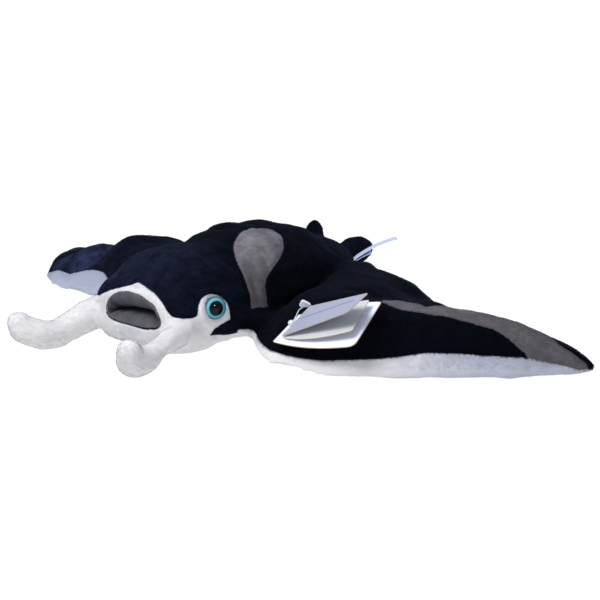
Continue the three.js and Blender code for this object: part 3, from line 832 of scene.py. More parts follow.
# The stuffing: a coarse copy is blown up as cloth between its seams, and the fine skin follows it.
stuffing = {"voxel": 5.0, "pressure": 4.0, "frames": 20, "slack": -0.025, "cap": 1.8, "held": 3.5, "cell": 5.0,
            "quality": 5, "mass": 0.25, "stretch": 12, "bend": 0.4, "holds": 10}


def stuffed(skin):
    # The coarse copy's points at rest and after the simulation, in millimetres.
    coarse = makeObject("stuffing", skin.data.copy())
    voxelRemesh(coarse, stuffing["voxel"])
    rest = fromPlace(pointsOf(coarse.data))
    white, grey = panelDistances(rest)
    seam = np.minimum(np.abs(white), np.abs(grey))
    onFloor, atMouth = ease(2 - rest[:, 2] / 4), (rest[:, 1] < -96) * 1.0
    held = np.maximum.reduce([bell(seam, stuffing["held"]), onFloor, atMouth])
    pins, holds = coarse.vertex_groups.new(name="pins"), stuffing["holds"]
    for level in range(1, holds + 1):
        pins.add(np.nonzero(np.round(held * holds) == level)[0].tolist(), level / holds, "REPLACE")
    cloth = coarse.modifiers.new("stuffing", "CLOTH")
    settings = cloth.settings
    settings.quality = stuffing["quality"]
    settings.mass = stuffing["mass"]
    settings.tension_stiffness = settings.compression_stiffness = stuffing["stretch"]
    settings.bending_stiffness = stuffing["bend"]
    settings.use_pressure = True
    settings.uniform_pressure_force = stuffing["pressure"]
    settings.shrink_min = stuffing["slack"]
    settings.vertex_group_mass = "pins"
    settings.effector_weights.gravity = 0
    cloth.collision_settings.use_collision = False
    scene = bpy.context.scene
    for frameNumber in range(1, stuffing["frames"] + 1):
        scene.frame_set(frameNumber)
    applied(coarse)
    moved = fromPlace(pointsOf(coarse.data))
    scene.frame_set(1)
    bpy.data.objects.remove(coarse)
    return rest, moved


def cellShares(points, low, size):
    # The eight grid nodes round each point, with their trilinear shares.
    place = (points - low) / stuffing["cell"]
    base = np.floor(place).astype(int)
    part = place - base
    for corner in np.ndindex(2, 2, 2):
        share = np.prod(np.where(np.array(corner) == 1, part, 1 - part), axis=1)
        yield np.ravel_multi_index(np.clip(base + corner, 0, size - 1).T, size), share


def clothMoves(skin, points):
    # Spreads the coarse copy's moves over a grid of cells and reads them at the fine points.
    rest, moved = stuffed(skin)
    moves = moved - rest
    length = np.linalg.norm(moves, axis=1, keepdims=True)
    moves = moves * np.minimum(1, stuffing["cap"] / np.maximum(length, 1e-9))
    low = rest.min(0) - 2 * stuffing["cell"]
    size = tuple(((rest.max(0) - low) / stuffing["cell"] + 4).astype(int))
    total, weight = np.zeros((np.prod(size), 3)), np.zeros(np.prod(size))
    for node, share in cellShares(rest, low, np.array(size)):
        weight += np.bincount(node, share, len(weight))
        for axis in range(3):
            total[:, axis] += np.bincount(node, share * moves[:, axis], len(weight))
    out, sums = np.zeros_like(points), np.zeros(len(points))
    for node, share in cellShares(points, low, np.array(size)):
        sums += share * weight[node]
        out += share[:, None] * total[node]
    print("stuffing: mean move %.2f mm, cap %.1f mm" % (np.linalg.norm(moves, axis=1).mean(), stuffing["cap"]))
    return out / np.maximum(sums, 1e-6)[:, None]


# Painted light and shade on the plush, as shares from 0 to 1 by region: lighter black on the head, the far
# wing, its tip, the fins and the rear.
paintedLightLevels = {"base": 0.027, "head": 0.307, "farWing": 0.14, "farTip": 0.85, "fins": 0.167, "rear": 0.1,
          "farFoldShade": [(192, 5, 0.85), (172, 4, 0.7)]}  # place along the far wing, width, depth


def paintedLightOf(p, white, grey):
    # How much painted light shows, from 0 to 1, the rest being painted shade: on the black, most at the far
    # wing's tip and on the head; on the grey, less down the sides and out to the tips; on the white, less at
    # the ends.
    x, y, z = p.T
    head, farWing = ease((-y - 50) / 30) * (1 - ease((x - 44) / 8)), ease((-x - 48) / 30)
    head *= 0.85 - 0.5 * ease((x - 4) / 30)
    # Painted shade in the far wing's folds.
    folds = 1 - sum(depth * bell(x + place, width) for place, width, depth in paintedLightLevels["farFoldShade"])
    farTip = ease((-x - 141) / 14) * ease((40 - y) / 20) * folds
    black = np.maximum.reduce([paintedLightLevels["base"] + paintedLightLevels["head"] * head, paintedLightLevels["farWing"] * farWing,
                               paintedLightLevels["farTip"] * farTip, paintedLightLevels["fins"] * ease((y - 66) / 10),
                               paintedLightLevels["rear"] * ease((y - 20) / 40)])
    # On the grey, painted light towards the top and painted shade down the sides and out towards the wing tips.
    onBody, onWing = 0.25 + 0.7 * ease((z - 34) / 28), 0.62 - 0.34 * ease((np.abs(x) - 130) / 70)
    dull = np.where(np.abs(x) > 60, onWing, onBody)
    # On the white, painted shade on the far wing, towards the near wing's tip and under the chin.
    chin = bell(np.hypot(x, (z - 12) * 1.5), 16) * ease((-y - 100) / 8)
    pale = np.minimum.reduce([1 - 0.85 * farWing, 1 - 0.66 * ease((x - 130) / 60), 1 - 0.2 * chin])
    return np.where(white > 0, pale, np.where(grey > 0, dull, black))


def shapeSkin():
    # The rough skin is stuffed, wrinkled and set on the floor, and its panels are stored on it.
    skin, points, edges = roughSkin()
    mesh, count = skin.data, len(points)
    white, grey = panelDistances(points)
    lining = insideMouth(points)
    points = points + clothMoves(skin, points)
    setPoints(mesh, placeOf(points))
    move = wrinkles(points, white, grey) - skinBuild["pile"]
    points = points + normalsOf(mesh) * spread(move[:, None], edges, count, 1)
    onWing, hornEnd = np.abs(points[:, 0]) > 50, points[:, 1] < -134
    rounded = np.where(onWing, ease(white / 3 + 0.5), hornEnd)  # the wings' white edges and the horns' ends
    points = spread(points, edges, count, skinBuild["rounding"], weight=rounded)
    points[:, 2] = np.maximum(points[:, 2] - skinBuild["settle"], skinBuild["rest"])
    setPoints(mesh, placeOf(points))
    # Each vertex also carries its share of painted light and shade.
    values = {"white": white, "grey": grey, "lining": lining, "lie": paintedLightOf(points, white, grey)}
    for name, value in values.items():
        addAttribute(mesh, name, value)
    return skin


# Plush fabrics: each colour is mixed between a dark and a light tone by the nap's noise, and on the skin and
# pile also by the painted light and shade.
plushColours = {
    # The black's light tone is a painted bluish sheen and light, shown where the painted light is high.
    "black": ((0.0006, 0.0009, 0.0021), (0.0345, 0.0465, 0.1150)),
    "white": ((0.60, 0.592, 0.602), (0.685, 0.677, 0.692)),
    "shaded": (0.29, 0.325, 0.44),  # the white where it lies away from the light
    "grey": ((0.082, 0.078, 0.081), (0.245, 0.235, 0.262)),
    "lining": ((0.050, 0.050, 0.057), (0.100, 0.100, 0.115)),
}
plushFinish = {"roughness": 0.9, "specular": 0.03, "sheen": 0.035, "sheenRoughness": 0.5,
               "sheenTint": (0.45, 0.58, 1.0)}
napNoise = {"patches": (110, 3, 0.55), "streaks": (420, 3, 0.6), "grain": (1700, 2, 0.7)}
napStretch = (1.0, 0.3, 1.0)  # the streaks run along Y


def napOf(shader, place):
    # Brushed pile: broad patches, streaks along the lie, and the fine grain of single hairs.
    patches = shader.noise(place, *napNoise["patches"])
    streaks = shader.noise(shader.stretched(place, napStretch), *napNoise["streaks"])
    grain = shader.noise(place, *napNoise["grain"])
    return ((patches - 0.5) * 1.5 + (streaks - 0.5) * 0.9 + (grain - 0.5) * 0.5 + 0.5).clamped()


def edged(field, sharpness):
    # A mask from a signed distance: a half on the edge and 1 well inside.
    return (field * sharpness + 0.5).clamped()


def plushFabric(name, tufts):
    shader = Shader(name)
    place = shader.objectPlace()
    white, grey = shader.attribute("white"), shader.attribute("grey")
    nap = napOf(shader, place)
    if tufts:
        whiteMask, greyMask = edged(white, 8), edged(grey, 8)
        nap = (nap * 0.8 + shader.attribute("shade") * 0.3 - 0.05).clamped()
    else:
        ragged = (shader.noise(place, 1100, 3, 0.6) - 0.5) * 0.7
        whiteMask, greyMask = edged(white + ragged, 4), edged(grey + ragged, 4)
        liningMask = edged(shader.attribute("lining") + ragged * 0.3, 4)
    # Painted light and shade: this takes the black and the grey towards their light tones, and the white from
    # its shaded tone to its own.
    lie = shader.attribute("lie")
    black = shader.mix(nap * lie, *plushColours["black"])
    dull = shader.mix(nap * lie, *plushColours["grey"])
    pale = shader.mix(lie, plushColours["shaded"], shader.mix(nap, *plushColours["white"]))
    colour = shader.mix(whiteMask, shader.mix(greyMask, black, dull), pale)
    values = dict(plushFinish)
    if not tufts:
        colour = shader.mix(liningMask, colour, shader.mix(nap, *plushColours["lining"]))
        pile = shader.noise(place, 1500, 3, 0.65) * 0.5 + shader.noise(place, 260, 2, 0.5) * 0.6
        values["normal"] = shader.bump(pile, 0.0004, 0.3)
    return shader.finish(colour=colour, **values)


# The coat: short slanted blades of pile over the whole skin.
coatShape = {"count": 240000, "perPiece": 60000, "length": (1.0, 1.5), "width": (0.24, 0.34), "seed": 21,
             "rise": (0.42, 0.10), "wander": 0.16, "patch": 0.003}


def napDirection(p):
    # The pile is brushed to the rear on the body, out and back on the wings, forward and down on
    # the wings' front edges, and outwards on the horns.
    x, y = p[:, 0], p[:, 1]
    out = np.clip((np.abs(x) - 40) / 60, 0, 1) * np.sign(x)
    field = np.stack([0.75 * out, np.ones_like(x), -0.15 + 0 * x], -1)
    leftFront, rightFront = (along(wingShapes[side]["front"], np.abs(x)) for side in ("left", "right"))
    frontEdge = bell(y - np.where(x > 0, leftFront, rightFront), 14) * (np.abs(x) > 50)
    field += frontEdge[:, None] * np.array([0, -1.4, -0.6])
    field[y < -105] = (0.1, -1.0, -0.2)
    return field


def skinSamples(skin, rng):
    # Random places over the skin, by area and denser along panel edges, with what the skin carries there.
    mesh = skin.data
    corners, loops = trianglesOf(mesh), trianglesOf(mesh, "loops")
    points, normals = fromPlace(pointsOf(mesh)), normalsOf(mesh)
    layout = readRows(mesh.uv_layers["unwrap"].data, "uv", 2)
    # The blades carry the skin's panels and its painted light and shade.
    names = ("white", "grey", "lie")
    marks = np.stack([readRows(mesh.attributes[name].data, "value", 1)[:, 0] for name in names])
    a, b, c = points[corners].transpose(1, 0, 2)
    middle, facing = (a + b + c) / 3, normals[corners[:, 0]]
    inMouth = insideMouth(middle) > -0.9
    under = (middle[:, 2] < 1.2) & (facing[:, 2] < -0.7)
    edge = bell(np.abs(marks[:2]).min(0)[corners[:, 0]], 2.5)
    area = np.linalg.norm(np.cross(b - a, c - a), axis=1)
    density = area * (1 + 1.2 * edge) * np.where(under, 0.35, 1) * ~inMouth
    chosen = rng.choice(len(density), coatShape["count"], p=density / density.sum())
    u, v = rng.random((2, coatShape["count"]))
    flip = u + v > 1
    u, v = np.where(flip, 1 - u, u), np.where(flip, 1 - v, v)
    share = np.stack([1 - u - v, u, v], -1)[..., None]
    root = (points[corners[chosen]] * share).sum(1)
    normal = unit((normals[corners[chosen]] * share).sum(1))
    uv = (layout[loops[chosen]] * share).sum(1)
    values = dict(zip(names, (marks[:, corners[chosen]] * share[..., 0]).sum(2)))
    return root, normal, uv, values, under[chosen]


def bladesOf(root, normal, under, border, rng):
    # Each blade is a slip of two stretches: it leaves the skin at one slope and lies down at another.
    field = unit(napDirection(root)) + coatShape["wander"] * rng.normal(size=root.shape)
    tangent = unit(field - normal * (field * normal).sum(1, keepdims=True))
    across = np.cross(normal, tangent)
    length = rng.uniform(*coatShape["length"], len(root))[:, None] * (1 + 0.45 * border[:, None])
    width = rng.uniform(*coatShape["width"], len(root))[:, None] / 2
    low = np.where(under | (root[:, 2] < 7) & (np.abs(root[:, 0]) > 48), 0.2, 1)
    lift = (rng.uniform(0.6, 1.25, len(root)) * low)[:, None]
    first, second = coatShape["rise"]
    knee = root + unit(tangent + normal * np.tan(first * lift)) * length * 0.5
    tip = knee + unit(tangent + normal * np.tan(second * lift)) * length * 0.5
    start = root - normal * 0.15
    blades = np.stack([start - across * width, start + across * width, knee + across * width * 0.8,
                       knee - across * width * 0.8, tip], 1)
    blades[..., 2] = np.maximum(blades[..., 2], 0.12)
    return blades


def makeCoat(skin):
    # Blades are grouped into pieces across the toy. Each takes a small patch of the skin's own unwrap.
    rng = np.random.default_rng(coatShape["seed"])
    root, normal, uv, values, under = skinSamples(skin, rng)
    onWing = (np.abs(root[:, 0]) > 48) * 1.6 - 1
    border = bell(np.minimum(np.abs(values["white"]), np.abs(values["grey"])), 1.5) * onWing
    blades = bladesOf(root, normal, under, border, rng)
    values["shade"] = rng.random(len(root))
    patch = np.array([(-0.5, -0.5), (0.5, -0.5), (0.4, 0.1), (-0.4, 0.1), (0, 0.5)]) * coatShape["patch"]
    material = plushFabric("plushPile", True)
    groups = np.array_split(np.argsort(root[:, 0], kind="stable"), coatShape["count"] // coatShape["perPiece"])
    for index, group in enumerate(groups):
        name = "plush_pile_%d" % (index + 1)
        base = np.arange(len(group))[:, None] * 5
        faces = np.stack([base + [3, 2, 1, 0], base + [2, 3, 4, 4]], 1).reshape(-1, 4)
        pile = makeMesh(name, placeOf(blades[group].reshape(-1, 3)), faces)
        for key, value in values.items():
            addAttribute(pile, key, np.repeat(value[group], 5))
        corner = readRows(pile.loops, "vertex_index", 1, np.int32)[:, 0]
        places = (uv[group][:, None] + patch[None]).reshape(-1, 2)[corner]
        pile.uv_layers.new(name="OFBake").data.foreach_set("uv", places.astype(np.float32).ravel())
        piece = makeObject(name, pile)
        pile.normals_split_custom_set_from_vertices(np.repeat(normal[group], 5, 0).astype(np.float32))
        pile.materials.append(material)
        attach(piece, "root")


def unwrapSkin(skin):
    # A layout of the whole skin, which the coat's blades borrow for their baked colours.
    skin.data.uv_layers.new(name="unwrap")
    bpy.context.view_layer.objects.active = skin
    skin.select_set(True)
    bpy.ops.object.mode_set(mode="EDIT")
    bpy.ops.mesh.select_all(action="SELECT")
    bpy.ops.uv.smart_project(angle_limit=math.radians(66), island_margin=0.002)
    bpy.ops.object.mode_set(mode="OBJECT")
    skin.select_set(False)


def makeSkin():
    skin = shapeSkin()
    skin.data.materials.clear()
    skin.data.materials.append(plushFabric("plushSkin", False))
    skin.data.polygons.foreach_set("use_smooth", np.full(len(skin.data.polygons), True))
    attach(skin, "root")
    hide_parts("head", "trunk", "wing_left", "wing_right", "horn_left", "horn_right", "tail",
                "dorsal_fin", "pelvic_fin_left", "pelvic_fin_right")
    unwrapSkin(skin)
    return skin


def madePiece(name, shapes, material, replaced=(), values=None, smooth=True):
    # One object from one or more closed shapes in millimetres, with its material and its place in the frame.
    points, faces = joined(shapes)
    mesh = makeMesh(name, placeOf(points), faces)
    for key, value in (values or {}).items():
        addAttribute(mesh, key, value)
    piece = makeObject(name, mesh, smooth)
    mesh.materials.append(material)
    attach(piece, "root")
    if replaced:
        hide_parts(*replaced)
    return piece


def outward(shape):
    # The shape with its faces turned out, judged by its signed volume.
    points, faces = shape
    a, b, c, d = (points[faces[:, corner]] for corner in range(4))
    volume = (np.cross(a, b) * c).sum() + (np.cross(a, c) * d).sum()
    return (points, faces) if volume > 0 else (points, reversedFaces(faces))


def reversedFaces(faces):
    # Turns each face over, and keeps a triangle's repeated corner last.
    triangle = (faces[:, 2] == faces[:, 3])[:, None]
    return np.where(triangle, faces[:, [1, 0, 2, 2]], faces[:, [3, 2, 1, 0]])


# The mouth: two stuffed rolls of lining that meet in a slit behind the lips.
mouthPads = {"rim": 1.03, "rimY": -116.2, "chinReach": 2.4, "slitY": -102.0, "slitHalf": 24.0,
             "slitMiddle": (2.0, 26.6), "slitTilt": 0.06, "cornerDrop": 3.0, "gap": 1.5, "open": 4.6,
             "tuck": 1.8, "thick": 2.6, "crease": 0.8}


def padLoft(sign, rows=110, across=26):
    # Each section runs from the rim in to the slit along a quarter ellipse, and back behind itself.
    a = sign * np.linspace(0.03, math.pi - 0.03, rows)[:, None]
    t = np.linspace(0, 1, across)[None] * math.pi / 2
    rimX, rimZ = mouthRing(a, mouthPads["rim"])
    rimY = mouthPads["rimY"] - mouthPads["chinReach"] * np.clip(-np.sin(a), 0, 1)
    middleX, middleZ = mouthPads["slitMiddle"]
    slitX = middleX + mouthPads["slitHalf"] * np.cos(a)
    gap = mouthPads["gap"] + mouthPads["open"] * ease((np.cos(a) - 0.45) / 0.55)
    slitZ = (middleZ + mouthPads["slitTilt"] * (slitX - middleX)
             - mouthPads["cornerDrop"] * np.abs(np.cos(a)) ** 4 + sign * gap / 2)
    share = 1 - np.cos(t)
    crease = np.sin(11 * a) * bell(np.abs(a) - 2.5, 0.6) * np.sin(2 * t) * mouthPads["crease"]
    x = rimX + (slitX - rimX) * share - crease
    z = rimZ + (slitZ - rimZ) * np.sin(t) + sign * crease
    y = rimY + (mouthPads["slitY"] - rimY) * share
    front = np.stack([x, y, z], -1)
    away = np.stack([np.cos(a) * mouthPads["tuck"] + 0 * t, mouthPads["thick"] + 0 * x,
                     np.sin(a) * mouthPads["tuck"] + 0 * t], -1)
    return closedLoft(np.concatenate([front, (front + away)[:, ::-1]], 1))


def liningFabric():
    shader = Shader("mouthLining")
    place = shader.objectPlace()
    colour = shader.mix(napOf(shader, place), *plushColours["lining"])
    pile = shader.noise(place, 1300, 3, 0.65) * 0.6 + shader.noise(place, 300, 2, 0.5) * 0.5
    return shader.finish(colour=colour, **{**plushFinish, "normal": shader.bump(pile, 0.0004, 0.4)})


def makeMouth():
    material = liningFabric()
    for name, sign in (("upper", 1), ("lower", -1)):
        pad = madePiece("mouth_pad_" + name, [outward(padLoft(sign))], material,
                        ["mouth_lining_" + name])


# The eyes: domed plastic discs, coloured in rings about their axes and covered in clear gloss.
eyeShape = {"centre": (43.0, -84.7, 30.6), "facing": 73, "tilt": 6, "radius": 7.0, "rim": 0.8, "dome": 2.0,
            "collar": 6.2, "sink": 2.4, "painted": -0.6}


def eyeFrame(mirror):
    # The disc's middle, and the directions out of it, across it and up it.
    turn, tilt = math.radians(eyeShape["facing"]), math.radians(eyeShape["tilt"])
    level = math.cos(tilt)
    out = np.array([mirror * math.sin(turn) * level, -math.cos(turn) * level, math.sin(tilt)])
    side = unit(np.cross([0, 0, 1], out))
    return np.array(eyeShape["centre"]) * (mirror, 1, 1), out, side, np.cross(out, side)


def eyeProfile():
    # Radius and height from the back of the collar, over a rounded rim and along a low dome.
    radius, rim = eyeShape["radius"], eyeShape["rim"]
    turn = np.linspace(0, math.pi / 2, 7)[1:]
    dome = np.linspace(radius - rim, 0.15, 22)
    rise = rim + eyeShape["dome"] * np.clip(1 - (dome / (radius - rim)) ** 2, 0, 1) ** 0.8
    across = [[eyeShape["collar"], radius - 0.15, radius], radius - rim * (1 - np.cos(turn)), dome[1:]]
    height = [[-eyeShape["sink"], -1.2, 0], rim * np.sin(turn), rise[1:]]
    return np.concatenate(across), np.concatenate(height)


def eyeLoft(mirror, sides=72):
    # The profile spun about the eye's own axis.
    centre, out, side, up = eyeFrame(mirror)
    radius, height = eyeProfile()
    a = np.linspace(0, 2 * np.pi, sides, endpoint=False)[None, :, None]
    rings = centre + radius[:, None, None] * (np.cos(a) * side + np.sin(a) * up) + height[:, None, None] * out
    return closedLoft(rings)


# From the pupil to the rim: shares of the radius and their colours, then the iris's lit upper arc.
eyeColours = [(0.0, (0.002, 0.002, 0.003)), (0.62, (0.002, 0.002, 0.003)), (0.65, (0.02, 0.13, 0.15)),
              (0.70, (0.055, 0.34, 0.39)), (0.84, (0.045, 0.31, 0.35)), (0.92, (0.012, 0.14, 0.16)),
              (1.0, (0.008, 0.08, 0.10))]
irisArc = {"from": 0.64, "to": 0.93, "sharpness": 12, "colour": (0.16, 0.48, 0.62)}


def eyeGloss():
    shader = Shader("eyeGloss")
    ring = shader.attribute("ring")
    cloudy = (shader.noise(shader.objectPlace(), 700, 3, 0.6) - 0.5) * 0.05
    painted = shader.node("ShaderNodeValToRGB", {"stops": eyeColours}, {"Fac": ring + cloudy * ring})
    past = ((ring - irisArc["from"]) * irisArc["sharpness"]).clamped()
    before = ((irisArc["to"] - ring) * irisArc["sharpness"]).clamped()
    lit = (shader.attribute("upper") * 0.45 + 0.25).clamped() * past * before
    return shader.finish(colour=shader.mix(lit, painted, irisArc["colour"]), roughness=0.5, specular=0.0,
                         coat=0.8, coatRoughness=0.02, coatIor=1.3)


def makeEyes():
    material = eyeGloss()
    for name, mirror in (("left", 1), ("right", -1)):
        shape = outward(eyeLoft(mirror))
        centre, out, side, up = eyeFrame(mirror)
        apart = shape[0] - centre
        across, above = apart @ side, apart @ up
        radius = eyeShape["radius"]
        shift = mirror * eyeShape["painted"] * np.clip(1 - np.hypot(across, above) / radius, 0, 1) ** 0.5
        madePiece("eye_disc_" + name, [shape], material, ["eye_" + name],
                  {"ring": np.hypot(across - shift * 1.4, above) / radius,
                   "upper": (above - mirror * across) / radius / 1.4})


# The hang tag: two covers and a leaf of card. A sheet's outline runs round its corners, each given
# along the fold's foot, up the fold and as a radius; its lower edge bows out.
tagFrame = {"corner": (84.7, -76.3, 14.6), "along": (0.986, 0.06, 0.159), "up": (-0.13, 0.87, 0.476)}
tagSheets = {
    "back": {"corners": [(-3.5, 1.6, 0.8), (57.2, -0.6, 4.5), (55.0, 37.7, 2.0), (2.2, 35.8, 1.5)],
             "bow": 3.4, "lift": (0.0, 0.0), "thickness": 0.5},
    "leaf": {"corners": [(4.0, 3.8, 0.6), (54.6, 6.2, 1.6), (51.2, 33.4, 1.5), (6.0, 31.0, 1.0)],
             "bow": 3.2, "lift": (0.5, 0.09), "thickness": 0.3},
    "front": {"corners": [(1.8, 4.7, 0.6), (53.8, 9.8, 1.6), (61.4, 24.3, 1.8), (8.3, 29.9, 1.2)],
              "bow": 0.3, "lift": (1.0, 0.27), "thickness": 0.5},
}
cardColours = {"front": (0.34, 0.36, 0.45), "back": (0.78, 0.80, 0.92), "leaf": (0.55, 0.57, 0.58),
               "edge": (0.42, 0.31, 0.22), "rule": (0.07, 0.10, 0.42)}
coverRule = {"height": 18.0, "slope": 0.06, "from": 8, "to": 52, "half": 0.42}  # a plain line across the cover


def tagAxes():
    alongFold = unit(np.array(tagFrame["along"]))
    up = np.array(tagFrame["up"])
    normal = unit(np.cross(alongFold, up))
    return alongFold, np.cross(normal, alongFold), normal


def cardOutline(corners, bow, steps=8, side=14):
    # Goes round the corners: a quadratic curve rounds each, and the first side bows by a parabola.
    out = []
    for index, (s, t, radius) in enumerate(corners):
        corner = np.array([s, t])
        before, after = np.array(corners[index - 1][:2]), np.array(corners[(index + 1) % len(corners)][:2])
        start, end = corner + unit(before - corner) * radius, corner + unit(after - corner) * radius
        w = np.linspace(0, 1, steps)[:, None]
        out.append((1 - w) ** 2 * start + 2 * w * (1 - w) * corner + w**2 * end)
        following = corners[(index + 1) % len(corners)]
        target = after + unit(corner - after) * following[2]
        w = np.linspace(0, 1, side)[1:-1, None]
        out.append(end + (target - end) * w)
    outline = np.vstack(out)
    first, second = np.array(corners[0][:2]), np.array(corners[1][:2])
    direction = unit(second - first)
    reach = (outline - first) @ direction / np.linalg.norm(second - first)
    offSide = np.abs((outline - first) @ np.array([-direction[1], direction[0]]))
    outline[:, 1] -= bow * 4 * np.clip(reach * (1 - reach), 0, 1) * np.clip(1 - offSide / 12, 0, 1)
    return outline


def cardLoft(sheet):
    # Rings of the outline shrunk to its middle, over the upper face and back under the lower one.
    outline = cardOutline(sheet["corners"], sheet["bow"])
    middle = outline.mean(0)
    shares = np.array([0.02, 0.3, 0.55, 0.75, 0.9, 0.975, 1.0])
    half = sheet["thickness"] / 2
    base, slope = sheet["lift"]
    edge, local = [], []
    for side, scales in ((1, shares), (-1, shares[::-1])):
        for scale in scales:
            flat = middle + (outline - middle) * scale
            local.append(np.column_stack([flat, base + slope * np.clip(flat[:, 0], 0, None) + side * half]))
            edge.append(np.full(len(outline), float(scale > 0.99)))
    alongFold, up, normal = tagAxes()
    local = np.array(local)
    rings = np.array(tagFrame["corner"]) + local @ np.stack([alongFold, up, normal])
    flats = local[..., :2].reshape(-1, 2)
    ends = np.array([local[0, :, :2].mean(0), local[-1, :, :2].mean(0)])
    values = {"s": np.concatenate([flats[:, 0], ends[:, 0]]), "t": np.concatenate([flats[:, 1], ends[:, 1]]),
              "edge": np.concatenate([np.concatenate(edge), [0.0, 0.0]])}
    return closedLoft(rings), values


def cardPaper(name, rule):
    # Coated card: a faint fibre, a browner cut edge, and on the cover one plain printed rule.
    shader = Shader("card_" + name)
    place = shader.objectPlace()
    fibre = shader.noise(place, 900, 4, 0.6)
    tone = cardColours[name]
    colour = shader.mix(fibre, tuple(0.93 * c for c in tone), tuple(1.05 * c for c in tone))
    if rule:
        s, t = shader.attribute("s"), shader.attribute("t")
        off = (t - coverRule["height"] - s * coverRule["slope"]).math("ABSOLUTE")
        inside = ((s - coverRule["from"]) * 2).clamped() * ((coverRule["to"] - s) * 2).clamped()
        colour = shader.mix(((coverRule["half"] - off) * 8).clamped() * inside, colour, cardColours["rule"])
    colour = shader.mix((shader.attribute("edge") * 3 - 1.6).clamped(), colour, cardColours["edge"])
    return shader.finish(colour=colour, roughness=0.42, specular=0.4, coat=0.15, coatRoughness=0.25,
                         normal=shader.bump(fibre, 0.0002, 0.15))


def makeTag():
    stoodFor = {"back": ["tag_card"], "leaf": ["tag_leaf"], "front": []}
    for name, sheet in tagSheets.items():
        shape, values = cardLoft(sheet)
        madePiece("tag_" + name + "_card", [outward(shape)], cardPaper(name, name == "front"),
                  stoodFor[name], values, smooth=False)


# The tag's fastener: a bead below, a flat paddle above and a thread between them round the fold.
fastener = {"bead": ((83.8, -62.0, 24.0), (2.3, 1.9, 1.9)),
            "paddle": {"centre": (82.9, -48.8, 32.4), "radii": (3.4, 0.7, 3.0), "turn": (24, 26, 32)},
            "thread": [(84.0, -61.0, 24.6), (82.6, -57.0, 26.6), (81.2, -53.6, 28.4), (80.8, -51.6, 29.8),
                       (82.2, -50.4, 31.0)],
            "threadRadius": 0.28, "colours": ((0.50, 0.56, 0.62), (0.72, 0.77, 0.82))}


def paddleLoft(shape, rows=26, sides=40):
    # A flat superellipsoid with a dished face.
    polar = np.linspace(0.04, 0.96, rows)[:, None] * np.pi
    a = np.linspace(0, 2 * np.pi, sides, endpoint=False)[None]
    x = np.sin(polar) ** 0.5 * signedPower(np.cos(a), 0.5)
    z = signedPower(np.cos(polar), 0.5) + 0 * a
    y = np.sin(polar) ** 0.5 * signedPower(np.sin(a), 0.5)
    y = y * (1 - 0.5 * bell(np.hypot(x, z), 0.55))
    ball = np.stack([x, y, z], -1) * np.array(shape["radii"])
    return closedLoft(turned(ball, shape["turn"]) + np.array(shape["centre"]))


def clearPlastic():
    shader = Shader("clearPlastic")
    clouds = shader.noise(shader.objectPlace(), 500, 3, 0.6)
    colour = shader.mix(clouds, *fastener["colours"])
    return shader.finish(colour=colour, roughness=0.22, specular=0.5, coat=0.6, coatRoughness=0.08,
                         subsurface=0.35, subsurfaceScale=0.002)


def makeFastener():
    thread = {"path": fastener["thread"], "radius": [fastener["threadRadius"]] * 2}
    shapes = [finLoft(*fastener["bead"], (0, 0, 0)), paddleLoft(fastener["paddle"]), tubeLoft(thread, 40, 14)]
    madePiece("tag_fastener", [outward(shape) for shape in shapes], clearPlastic(),
              ["tag_pin"])


# The care label: a long and a short layer of plain satin ribbon, sewn in beside the tail.
ribbon = {"width": 15, "thickness": 0.55, "across": (-0.66, 0.735, -0.08), "curl": 0.5,
          "long": [(20.8, 70.8, 32), (25.3, 75.3, 36.6), (32.5, 82.4, 42.2), (40.6, 90.2, 46.5),
                   (43.2, 92.6, 47.1)],
          "short": [(21.2, 71.2, 31.2), (25.9, 75.9, 34.9), (30.6, 80.4, 37.6)],
          "colours": ((0.50, 0.58, 0.82), (0.66, 0.72, 0.92))}


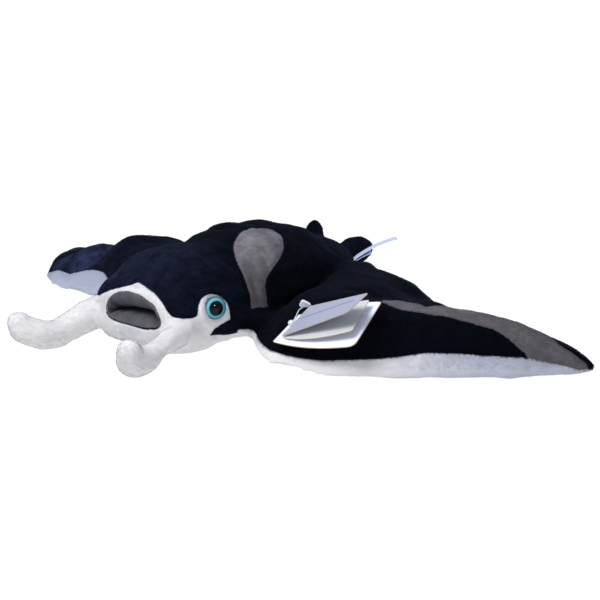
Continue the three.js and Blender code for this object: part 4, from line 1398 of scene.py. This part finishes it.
def ribbonLoft(path, rows=70, sides=30):
    # A flat section with rounded edges and a slight crosswise curl, carried along the path.
    t = np.linspace(0, 1, rows)
    centre = pathPoints(path, t)
    ahead = unit(np.gradient(centre, axis=0))
    across = unit(np.array(ribbon["across"]))
    up = unit(np.cross(across, ahead))
    up = up * np.sign(up[:, 2:3])
    a = np.linspace(0, 2 * np.pi, sides, endpoint=False)
    flat = signedPower(np.cos(a), 0.35) * ribbon["width"] / 2
    rise = signedPower(np.sin(a), 0.5) * ribbon["thickness"] / 2
    curl = ribbon["curl"] * (2 * flat / ribbon["width"]) ** 2 * t[:, None]
    return closedLoft(centre[:, None] + flat[None, :, None] * across + (rise + curl)[..., None] * up[:, None])


def satinFabric():
    shader = Shader("labelSatin")
    place = shader.objectPlace()
    weave = shader.noise(shader.stretched(place, (1.0, 1.0, 3.0)), 2600, 2, 0.6)
    colour = shader.mix(weave, *ribbon["colours"])
    return shader.finish(colour=colour, roughness=0.45, specular=0.35, sheen=0.2,
                         normal=shader.bump(weave, 0.0002, 0.3))


def makeLabel():
    # Each ribbon is lofted along its own path, and the steps along that path are measured.
    material = satinFabric()
    for name in ("long", "short"):
        path = ribbon[name]
        piece = madePiece("label_ribbon_" + name, [outward(ribbonLoft(path))], material,
                          ["care_label_" + name])
        steps = np.diff(pathPoints(path, np.linspace(0, 1, 200)), axis=0)


floorPaper = {"half": 40.0, "colour": (0.18, 0.18, 0.18), "glow": 0.9}


def makeFloor():
    half = floorPaper["half"]
    mesh = bpy.data.meshes.new("floor")
    corners = [(-half, -half, 0), (half, -half, 0), (half, half, 0), (-half, half, 0)]
    mesh.from_pydata(corners, [], [(0, 1, 2, 3)])
    floor = makeObject("floor", mesh)
    shader = Shader("paper")
    mesh.materials.append(shader.finish(colour=floorPaper["colour"], roughness=0.9, emission=(1.0, 1.0, 1.0),
                                        emissionStrength=floorPaper["glow"]))


# Making, in order.
makeCamera()
makeStudio()
skin = makeSkin()
print("skin:", len(skin.data.polygons), "faces")
makeCoat(skin)
print("coat:", coatShape["count"], "blades")
makeMouth()
makeEyes()
print("mouth and eyes")
makeTag()
makeFastener()
makeLabel()
print("tag, fastener and care label")
makeFloor()
